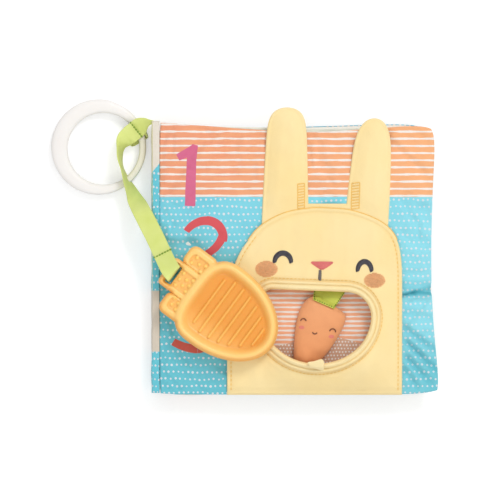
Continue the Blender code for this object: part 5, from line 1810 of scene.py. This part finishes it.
for piece, node, slot in ((front, "carrot_front_fabric", "carrot_cloth"),
                          (back, "carrot_back_fabric", "carrot_cloth"),
                          (stuffing, "carrot_stuffing", "wadding")):
    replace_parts(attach(piece, "carrot"), node)


# %% Carrot's face and ribbon
def on_carrot(spots):
    gap = np.where(inside(spots, carrot_line), loop_distance(spots, carrot_line), 0)
    return carrot_seam(spots) + carrot_rise(spots, gap) + 0.15 * MM


def arc_line(centre_x, centre_y, radius, start_deg, end_deg):
    turns = np.radians(np.linspace(start_deg, end_deg, 14))
    spots = np.stack([centre_x + radius * np.cos(turns), centre_y + radius * np.sin(turns)], 1) * MM
    return np.column_stack([spots, on_carrot(spots)])


carrot_face = [arc_line(4.6, -35.0, 1.5, 10, 170), arc_line(20.9, -40.9, 1.7, -5, 165),
               arc_line(11.0, -40.6, 1.4, 200, 330)]
smile = grow("carrot_smile", carrot_face, thread_tree, brown_thread, Thickness=0.7 * MM, Sides=8)
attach(smile, "carrot")


tag_corners = np.array([(9.9, -22.9), (21.7, -28.1), (28.0, -18.9), (25.5, -11.0), (14.0, -9.5),
                        (10.6, -18.5)]) * MM
tag_line = resample(tag_corners, 0.5 * MM)
points, triangles, depth = cut_cloth([tag_line], 0.8 * MM, rows=(0.25 * MM,))


def tag_low(spots):
    """The ribbon's underside: on the carrot below, and up to the pouch's seam above."""
    lifted = cover_top_z + 2 * cloth_gap + lining_thickness + 0.6 * MM
    upper = smooth((spots[:, 1] + 24 * MM) / (11 * MM))
    return np.maximum(on_carrot(spots) + 0.2 * MM, carrot_seam_z) * (1 - upper) + lifted * upper


low = tag_low(points)
tag = closed_sheet("carrot_leaf_ribbon", points, triangles, low, low + 0.8 * MM, leaf_ribbon)
layer = tag.data.uv_layers.new(name="cloth")
for corner in tag.data.loops:
    place = tag.data.vertices[corner.vertex_index].co
    layer.data[corner.index].uv = (0.5, place.x * 0.9 - place.y * 0.4)
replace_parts(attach(tag, "carrot"), "carrot_ribbon")
tag_rows = [np.linspace(a, b, 12) for a, b in (((11.0, -18.6), (10.9, -22.4)),
                                               ((11.2, -22.7), (21.6, -27.2)),
                                               ((22.2, -26.6), (27.2, -19.4)))]
tag_stitches = grow("carrot_leaf_stitches",
                    [np.column_stack([row * MM, tag_low(row * MM) + 0.85 * MM])
                     for row in tag_rows], stitch_tree, leaf_thread, Pitch=1.3 * MM,
                    Length=1.0 * MM, Thickness=0.6 * MM)
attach(tag_stitches, "carrot")

# %% [markdown]
# ## The spine
#
# A strip of cloth runs round the left side and is sewn to both covers. It is one strip, but two
# hinges turn in it, so it is made as two halves that meet at the inner leaf: the lower one lies
# between the back and the leaf, and the upper one between the leaf and the front.

# %% Spine cloth
spine_x, hinge_x, hinge_z = -80.2 * MM, -78 * MM, 14 * MM
spine_half = 0.4 * MM
spine_length = 152.6 * MM
spine_middle_y = 0.9 * MM
back_edge, front_edge = back_page.left - cloth_gap, front_page.left - cloth_gap
hem = hinge_x - spine_x
route = [(back_edge, back_page.middle_z), (back_edge - hem / 2, back_page.middle_z - spine_half),
         (spine_x + spine_half, back_page.middle_z + spine_half),
         (spine_x, leaf_page.middle_z - hem), (spine_x, leaf_page.middle_z + hem),
         (spine_x + spine_half, front_page.middle_z - spine_half),
         (spine_x + hem / 2 + spine_half, front_page.middle_z + spine_half),
         (front_edge + 0.4 * MM, front_page.middle_z + edge_half + 0.3 * MM)]
profile = rounded_curve(np.array(route), 8, closed=False)
middle_row = int(np.argmin(np.abs(profile[:, 1] - leaf_page.middle_z)))
spine_ys = spine_middle_y + np.linspace(-0.5, 0.5, 100) * spine_length


def spine_strip(name, profile, seed):
    """A closed strip that follows a profile in X and Z, all along the spine."""
    along = np.gradient(profile, axis=0)
    along /= np.linalg.norm(along, axis=1)[:, None]
    normal = np.stack([-along[:, 1], along[:, 0]], 1)
    faces_out, grids = [], []
    for offset in (spine_half, -spine_half):
        rows = profile + normal * offset
        x = np.repeat(rows[:, :1], len(spine_ys), 1)
        z = np.repeat(rows[:, 1:], len(spine_ys), 1)
        y = np.repeat(spine_ys[None], len(profile), 0)
        wave = 0.22 * MM * ripples(y, z * 2, 20 * MM, 81)
        end_fade = smooth((spine_length / 2 - np.abs(y - spine_middle_y)) / (3 * MM))
        x = x + wave * normal[:, :1] * end_fade
        grids.append(np.stack([x, y, z], -1).reshape(-1, 3))
    rows, columns = len(profile), len(spine_ys)
    squares = grid_faces(rows, columns)
    rim = grid_rim(rows, columns)
    count = rows * columns
    faces = squares.tolist() + (squares[:, ::-1] + count).tolist()
    faces += [[int(a), int(b), int(b) + count, int(a) + count][::-1]
              for a, b in zip(rim, np.roll(rim, -1))]
    return face_outwards(add_mesh(name, np.vstack(grids), faces, spine_cloth))


lower_spine = spine_strip("spine_cloth_lower", profile[:middle_row + 1], 81)
upper_spine = spine_strip("spine_cloth_upper", profile[middle_row:], 81)
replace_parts(lower_spine, "spine_fabric")
for piece, low_body, high_body, low_z, high_z in (
        (lower_spine, "base", "leaf", back_page.middle_z + 0.5 * MM, leaf_page.middle_z),
        (upper_spine, "leaf", "cover", leaf_page.middle_z, front_page.middle_z - 0.5 * MM)):
    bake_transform(piece)

# %% [markdown]
# ## The ring
#
# One flat moulded ring whose hole is a little off its middle, so that the band is wider on one side.
# A small step crosses the band where the mould's parts met.

# %% Ring
ring_middle = np.array([-110.4, 62.8]) * MM
ring_radius, ring_hole = 27.0 * MM, 20.2 * MM
ring_shift = np.array([2.5, -0.9]) * MM
ring_low, ring_height = 1.6 * MM, 5.6 * MM
turns = np.linspace(0, math.tau, 220, endpoint=False)
outwards = np.stack([np.cos(turns), np.sin(turns)], 1)
along_shift = outwards @ ring_shift
hole = along_shift + np.sqrt(ring_hole ** 2 - ring_shift @ ring_shift + along_shift ** 2)
step_turn = math.radians(72)
step = smooth((turns - step_turn) / 0.05 + 0.5) * smooth((5.5 - turns) / 1.5)
outer = ring_radius - 0.35 * MM * (1 - step)
height_share = 1 - 0.10 * (1 - step)
sides = np.linspace(0, math.tau, 36, endpoint=False)
round_x = np.sign(np.cos(sides)) * np.abs(np.cos(sides)) ** (2 / 2.6)
round_z = np.sign(np.sin(sides)) * np.abs(np.sin(sides)) ** (2 / 2.6)
reach = (outer + hole)[:, None] / 2 + (outer - hole)[:, None] / 2 * round_x
heights = ring_low + ring_height / 2 * (1 + round_z * height_share[:, None])
spots = ring_middle + outwards[:, None] * reach[..., None]
points = np.concatenate([spots, heights[..., None]], 2).reshape(-1, 3)
number = np.arange(len(points)).reshape(len(turns), len(sides))
after, beside = np.roll(number, -1, 0), np.roll(number, -1, 1)
faces = np.stack([number, beside, np.roll(after, -1, 1), after], -1).reshape(-1, 4).tolist()
ring = face_outwards(add_mesh("milky_ring", points, faces, ring_plastic))
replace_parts(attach(ring, "ring"), "ring")

# %% [markdown]
# ## The ribbons
#
# A short ribbon from the spine's corner goes round the ring and is stitched to itself, and a long
# one runs on through the ring and over the cover to the teether's bar. Both are flat, so each is a
# thin section that turns as it goes.

# %% Ribbon helpers
def direction(points):
    """Unit direction of a line at each of its points."""
    ahead = np.vstack([points[1:], points[-1:]]) - np.vstack([points[:1], points[:-1]])
    return ahead / np.linalg.norm(ahead, axis=1)[:, None]


def ribbon_piece(name, path, sides, width, thickness, material):
    """A flat ribbon along a line; sides are the directions in which it is wide."""
    along = direction(path)
    across = sides - along * (sides * along).sum(1)[:, None]
    across /= np.linalg.norm(across, axis=1)[:, None]
    up = np.cross(along, across)
    flat = lens(0.5, thickness / 2, 20, 0.35)
    widths = np.broadcast_to(width, len(path))
    section = np.stack([flat * (size, 1.0) for size in widths])
    piece = sweep(name, path, across, up, section, material, uv_width=np.max(widths))
    return piece, across, up


# %% Ribbon round the ring
ribbon_width, ribbon_thickness = 10.4 * MM, 1.0 * MM
loop_bottom = cloth_gap + ribbon_thickness / 2
loop_top = ring_low + ring_height + cloth_gap + ribbon_thickness / 2
loop_turn = math.atan2(72.3 * MM - ring_middle[1], spine_x - ring_middle[0])
radial = np.array([math.cos(loop_turn), math.sin(loop_turn)])
tangent = np.array([-radial[1], radial[0]])
seam_middle = np.array([-89.2, 72.7]) * MM
seam_side = np.array([-0.664, 0.748])
# place, height, direction of the width and width of the ribbon, from the spine's corner on
loop_stations = [
    ((-79.2, 76.8), 11.4, (-0.15, 0.98, 0.35), 1.6), ((-81.6, 76.7), 10.2, (-0.2, 0.97, 0.3), 3.2),
    ((-84.0, 76.3), 9.2, (-0.35, 0.93, 0.2), 6.4), ((-86.6, 74.9), 8.6, (-0.55, 0.83, 0.1), 9.8),
    ((-89.2, 72.7), 8.2, (-0.664, 0.748, 0), 10.6),
    ((-91.6, 70.8), 7.9, (-0.62, 0.78, 0), 10.4), ((-93.7, 69.4), 6.2, (-0.5, 0.86, 0), 10.4),
    ((-93.9, 68.8), 3.4, (-0.42, 0.9, 0), 10.4), ((-92.4, 68.4), 1.2, (-0.36, 0.93, 0), 10.4),
    ((-88.6, 70.2), 0.8, (-0.3, 0.95, 0), 9.6), ((-85.6, 71.4), 0.9, (-0.3, 0.95, 0), 8.8),
    ((-84.2, 72.2), 3.2, (-0.32, 0.95, 0), 8.2), ((-84.8, 72.4), 5.6, (-0.36, 0.93, 0), 7.6),
]


def station_curves(stations, steps):
    """Smooth lines of place, width direction and width through the stations; lengths in mm."""
    table = np.array([(x, y, z, *side, width) for (x, y), z, side, width in stations], float)
    table[:, [0, 1, 2, 6]] *= MM
    curve = rounded_curve(table, steps, closed=False)
    return curve[:, :3], curve[:, 3:6], curve[:, 6]


loop_path, loop_side, loop_widths = station_curves(loop_stations, 10)
loop, loop_across, loop_up = ribbon_piece("ring_loop_ribbon", loop_path, loop_side, loop_widths,
                                          ribbon_thickness * 0.8, green_ribbon)
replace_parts(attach(loop, "base"), "ring_ribbon")

# %% Teether's own axes
teether_middle = Vector((-36.8 * MM, -31.9 * MM, cover_top_z - edge_half + 2.1 * MM))
slot_low, slot_high, slot_half = -40.5 * MM, -36.5 * MM, 5.7 * MM
teether_end = -43.7 * MM
pivot_u = (teether_end + slot_low) / 2
teether_turn = Matrix.Rotation(math.radians(-36.46), 4, "Z")
teether_tilt = Matrix.Rotation(-math.radians(3.4), 4, "Y")
pivot = Matrix.Translation((pivot_u, 0, 0))
teether_place = (Matrix.Translation(teether_middle) @ teether_turn @ pivot @ teether_tilt
                 @ pivot.inverted())
body_height, leaf_height = 8.5 * MM, 6.5 * MM
leaf_lift = (body_height - leaf_height) / 3


def teether_spot(u, w, z):
    return np.array(teether_place @ Vector((u, w, z)))


# %% Long ribbon
over = leaf_lift + leaf_height + cloth_gap + ribbon_thickness / 2
under = leaf_lift - cloth_gap - ribbon_thickness / 2
slot_u = (slot_low + slot_high) / 2
half_ribbon = ribbon_thickness / 2
strap_stations = [
    ((-89.1, 72.8), 9.3, (-0.664, 0.748, 0.0), 10.4), ((-92.0, 70.4), 9.4, (-0.68, 0.73, 0.1), 10.4),
    ((-95.4, 67.2), 9.2, (-0.76, 0.55, 0.35), 10.2), ((-98.0, 62.4), 8.6, (-0.4, 0.08, 0.92), 10.0),
    ((-98.4, 56.6), 8.6, (-0.24, 0.0, 0.97), 10.0), ((-97.0, 50.2), 8.2, (-0.12, -0.03, 0.99), 10.2),
    ((-94.0, 42.4), 8.2, (-0.36, -0.16, 0.92), 10.4), ((-89.9, 33.9), 9.0, (-0.66, -0.37, 0.65), 10.4),
    ((-85.8, 26.2), 17.4, (-0.85, -0.45, 0.26), 10.4), ((-82.0, 18.9), 19.8, (-0.88, -0.46, 0.06), 10.4),
    ((-78.2, 11.4), 20.4, (-0.88, -0.47, 0.0), 10.4), ((-75.0, 4.6), 22.4, (-0.88, -0.475, 0.0), 10.4),
    ((-72.3, -0.9), 26.0, (-0.87, -0.49, 0.0), 10.4), ((-70.2, -4.9), 28.3, (-0.8, -0.6, 0.0), 10.6),
]
bar = np.array(teether_place.to_3x3() @ Vector((0, -1, 0)))
for u, w, z in ((slot_u - half_ribbon, 0.6, over - half_ribbon / 2),
                (slot_u, 0.3, (over + under) / 2), (slot_u - half_ribbon / 2, 0, under + half_ribbon),
                (pivot_u, 0, under), (teether_end - 0.6 * MM, 0, under)):
    x, y, height = teether_spot(u, w * MM, z) / MM
    strap_stations.append(((x, y), height, tuple(bar), 10.4))
steps = 12
strap_path, strap_side, strap_widths = station_curves(strap_stations, steps)
reach = np.concatenate([[0], np.cumsum(np.linalg.norm(np.diff(strap_path, axis=0), axis=1))])
print("long ribbon", round(reach[-1] / MM, 1), "mm")
split, bar_side, stitch_row = steps * 7 + steps // 2, steps * 9, steps * 11 + 4
strap_pieces, strap_frames = [], []
for name, part in (("strap_ring_half", slice(0, split + 1)), ("strap_teether_half",
                                                              slice(split, None))):
    path = strap_path[part]
    piece, across, up = ribbon_piece(name, path, strap_side[part], strap_widths[part],
                                     ribbon_thickness * 0.85, green_ribbon)
    strap_pieces.append(piece)
    strap_frames.append((path, across, up))
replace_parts(strap_pieces[0], "ribbon_strap")


# %% Stitches across the ribbons
def row_across(path, across, up, index, width, slant=0.0):
    """A line of stitch places across a ribbon, on its upper side."""
    share = np.linspace(-0.5, 0.5, 9)
    rise = up[index] * math.copysign(0.55 * ribbon_thickness, up[index][2])
    along = direction(path)[index]
    return path[index] + share[:, None] * (across[index] * width + along * slant) + rise


stitch_rows = [
    ("loop_stitches", row_across(*strap_frames[0], 1, 9.8 * MM), "base"),
    ("strap_stitches", row_across(*strap_frames[1], stitch_row - split, 10.0 * MM), "cover"),
]
for name, line, body in stitch_rows:
    piece = grow(name, [line], stitch_tree, green_thread, Pitch=1.5 * MM, Length=1.4 * MM,
                 Thickness=0.95 * MM)
    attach(piece, body)
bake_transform(strap_pieces[0])
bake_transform(strap_pieces[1])

# %% [markdown]
# ## The teether
#
# One moulded carrot: a broad smooth rim round a dish with seven ribs, and three leaves with raised
# dots, the middle one slotted for the ribbon. Its outline is filled finely, and a height for every
# point carves the whole relief.


# %% Teether outline
def teether_body_line(grow=0.0, steps=220):
    """Egg outline: a long round tip and a blunter crown end."""
    turns = np.linspace(0, math.tau, steps, endpoint=False)
    cos, sin = np.cos(turns), np.sin(turns)
    power = np.where(cos >= 0, 1.0, 2 / 3)
    reach = np.where(cos >= 0, 38 * MM, 18.5 * MM) + grow
    u = -8 * MM + np.sign(cos) * np.abs(cos) ** power * reach
    w = np.sign(sin) * np.abs(sin) ** power * (25.4 * MM + grow)
    return resample(np.stack([u, w], 1), 0.6 * MM)


def rounded_box(middle_u, middle_w, half_u, half_w, corner):
    turns = np.linspace(0, math.pi / 2, 8)
    points = []
    for index, (a, b) in enumerate(((1, 1), (-1, 1), (-1, -1), (1, -1))):
        for turn in turns + index * math.pi / 2:
            points.append((middle_u + a * (half_u - corner) + corner * math.cos(turn),
                           middle_w + b * (half_w - corner) + corner * math.sin(turn)))
    return resample(np.array(points) * MM, 0.6 * MM)


body_line = teether_body_line()
middle_leaf = rounded_box(-32.35, 0, 11.35, 8.8, 2.6)
short_leaf = {1: 0.0, -1: 4.4}
side_leaves = [rounded_box(-30.4 + short_leaf[side], side * 14.3, 9.2, 6.6, 4.4) for side in (1, -1)]
slot_line = rounded_box(-38.5, 0, 2.0, 5.7, 0.8)
points, triangles, depth = cut_cloth([body_line, middle_leaf, *side_leaves], 0.5 * MM, [slot_line],
                                     rows=(0.12 * MM, 0.35 * MM))
print("teether points", len(points))

# %% Teether relief
rib_places = np.array([-13.4, -7.8, -1.8, 3.8, 9.6, 15.1, 20.5]) * MM
rib_halves = np.array([14.2, 16.6, 16.2, 15.0, 12.8, 9.5, 5.2]) * MM
leaf_dots = [(-34.0, 4.0), (-34.1, 0.0), (-34.0, -4.0), (-30.5, 1.9), (-30.5, -1.9), (-27.4, 3.7),
             (-27.4, 0.0), (-27.4, -3.7)]
side_dots = [(-34.0, 11.3), (-33.2, 15.4), (-30.0, 13.0), (-27.2, 10.4), (-26.6, 14.4)]
leaf_dots += side_dots + [(-30.0, -10.2), (-29.2, -13.8), (-26.5, -11.3), (-25.8, -15.0)]
u, w = points.T
body_depth = loop_distance(points, body_line) * np.where(inside(points, body_line), 1, -1)
leaf_top = leaf_lift + leaf_height
on_body = smooth(body_depth / (2.6 * MM) + 0.35)
crest = leaf_top + (body_height - leaf_top) * on_body
dish = smooth((body_depth - 3.2 * MM) / (4.6 * MM))
ribbed = smooth((body_depth - 6.0 * MM) / (2.6 * MM))
crest -= 4.0 * MM * dish
crest += 0.3 * MM * np.exp(-((body_depth - 2.8 * MM) / (1.2 * MM)) ** 2)
painted_crest_highlight = np.zeros(len(points))
for place, half_length in zip(rib_places, rib_halves):
    off = np.hypot(u - place, np.maximum(np.abs(w) - half_length, 0))
    rib = ribbed * np.sqrt(np.clip(1 - (off / (0.95 * MM)) ** 2, 0, 1))
    crest += 1.5 * MM * rib
    painted_crest_highlight = np.maximum(painted_crest_highlight, rib * 0.35)
panel = np.zeros(len(points))
for box in (rounded_box(-31.0, 0, 5.6, 6.1, 1.4),
            *(rounded_box(-30.4 + short_leaf[side], side * 13.2, 6.0, 3.9, 2.6) for side in (1, -1))):
    panel = np.maximum(panel, np.where(inside(points, box), loop_distance(points, box), 0))
leaf_share = 1 - smooth(body_depth / (1.5 * MM) + 0.6)
crest -= 1.3 * MM * smooth(panel / (1.0 * MM)) * leaf_share
for side in (1, -1):
    gap = np.hypot(w - side * 8.9 * MM, np.maximum(np.abs(u + 31 * MM) - 9.5 * MM, 0))
    crest -= 1.7 * MM * np.exp(-(gap / (0.55 * MM)) ** 2) * leaf_share
for dot_u, dot_w in leaf_dots:
    off = np.hypot(u - dot_u * MM, w - dot_w * MM)
    dot = leaf_share * np.sqrt(np.clip(1 - (off / (1.1 * MM)) ** 2, 0, 1))
    crest += 1.2 * MM * dot
    painted_crest_highlight = np.maximum(painted_crest_highlight, dot)
middle_height = 4.2 * MM
edge = rounded(depth, 2.6 * MM)
high = middle_height + (crest - middle_height) * edge
low_level = leaf_lift * (1 - on_body)
low = middle_height - (middle_height - low_level) * rounded(depth, 2.0 * MM)
teether = closed_sheet("carrot_teether_moulding", points, triangles, low, high, teether_rubber)
used = np.unique(triangles)
# Painted shade and painted highlights: the dish and leaf panels darker, less so on the dish's lower-left
# wall that faces the light, the outer rim darker on the shaded lower-left side, and the ribs and dots
# lighter.
panel_painted_shade = 0.45 * smooth(panel / (1.0 * MM)) * leaf_share
lit_side = smooth((-w - 4 * MM) / (15 * MM))
shaded_side = smooth(0.5 - w / (30 * MM))
painted_rim_shade = (0.3 + 0.5 * shaded_side) * (1 - smooth((depth - 0.4 * MM) / (2.6 * MM)))
painted_shade_share = np.maximum(np.maximum(dish * (1 - 0.5 * lit_side), panel_painted_shade), painted_rim_shade)
for label, share in (("painted_hollow_shade", painted_shade_share), ("raised", painted_crest_highlight)):
    mark_points(teether, label, np.concatenate([share[used], 0 * share[used]]))
teether.data.transform(teether_place)
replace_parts(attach(teether, "teether"), "carrot_teether")
print("teether faces", len(teether.data.polygons))

# %% [markdown]
# ## What the cloths are
#
# The flat size of each sheet and ribbon is measured on the piece and printed.

# %% Flat sizes of sheets and ribbons
def declare_cut(piece):
    """Print the flat cut of a sheet, measured on the piece itself."""
    corners = np.array([list(corner) for corner in piece.bound_box])
    width, length = np.maximum(np.sort(np.ptp(corners, axis=0))[1:], 10.2 * MM)
    area = sum(polygon.area for polygon in piece.data.polygons) / 2
    area = float(np.clip(area, 0.31 * width * length, width * length))
    print(piece.name, "flat", round(width / MM), "x", round(length / MM), "mm")


for side in ears:
    declare_cut(bpy.data.objects[f"{side}_ear_front_cloth"])
    declare_cut(bpy.data.objects[f"{side}_ear_back_cloth"])
declare_cut(bpy.data.objects["carrot_front_cloth"])
declare_cut(bpy.data.objects["carrot_back_cloth"])
declare_cut(tag)
strap_flats = [(loop_path, loop, "ring_loop_ribbon")]
strap_flats += [(frame[0], piece, piece.name) for frame, piece in zip(strap_frames, strap_pieces)]
for path, piece, name in strap_flats:
    length = float(np.linalg.norm(np.diff(path, axis=0), axis=1).sum())
    print(name, "flat 10.4 x", round(length / MM, 1), "mm")
declare_cut(tuck)

# %% [markdown]
# ## The floor
#
# A pale floor carries the object's shadow. To the camera it glows a little, so that the open floor is
# white while the object gets no more light from it.

# %% Floor
floor_material, wires, shader = new_material("floor", 0.9)
shader.inputs["Base Color"].default_value = screen(222, 222, 222)
place = wires.node("ShaderNodeTexCoord").outputs["Object"]
seen = wires.node("ShaderNodeLightPath").outputs["Is Camera Ray"]
shader.inputs["Emission Color"].default_value = (1, 1, 1, 1)
wires.tree.links.new(wires.math("MULTIPLY", seen, 0.38), shader.inputs["Emission Strength"])
floor_size = 3.0
floor = add_mesh("floor", [(-floor_size, -floor_size, 0), (floor_size, -floor_size, 0),
                           (floor_size, floor_size, 0), (-floor_size, floor_size, 0)],
                 [[0, 1, 2, 3]], floor_material)
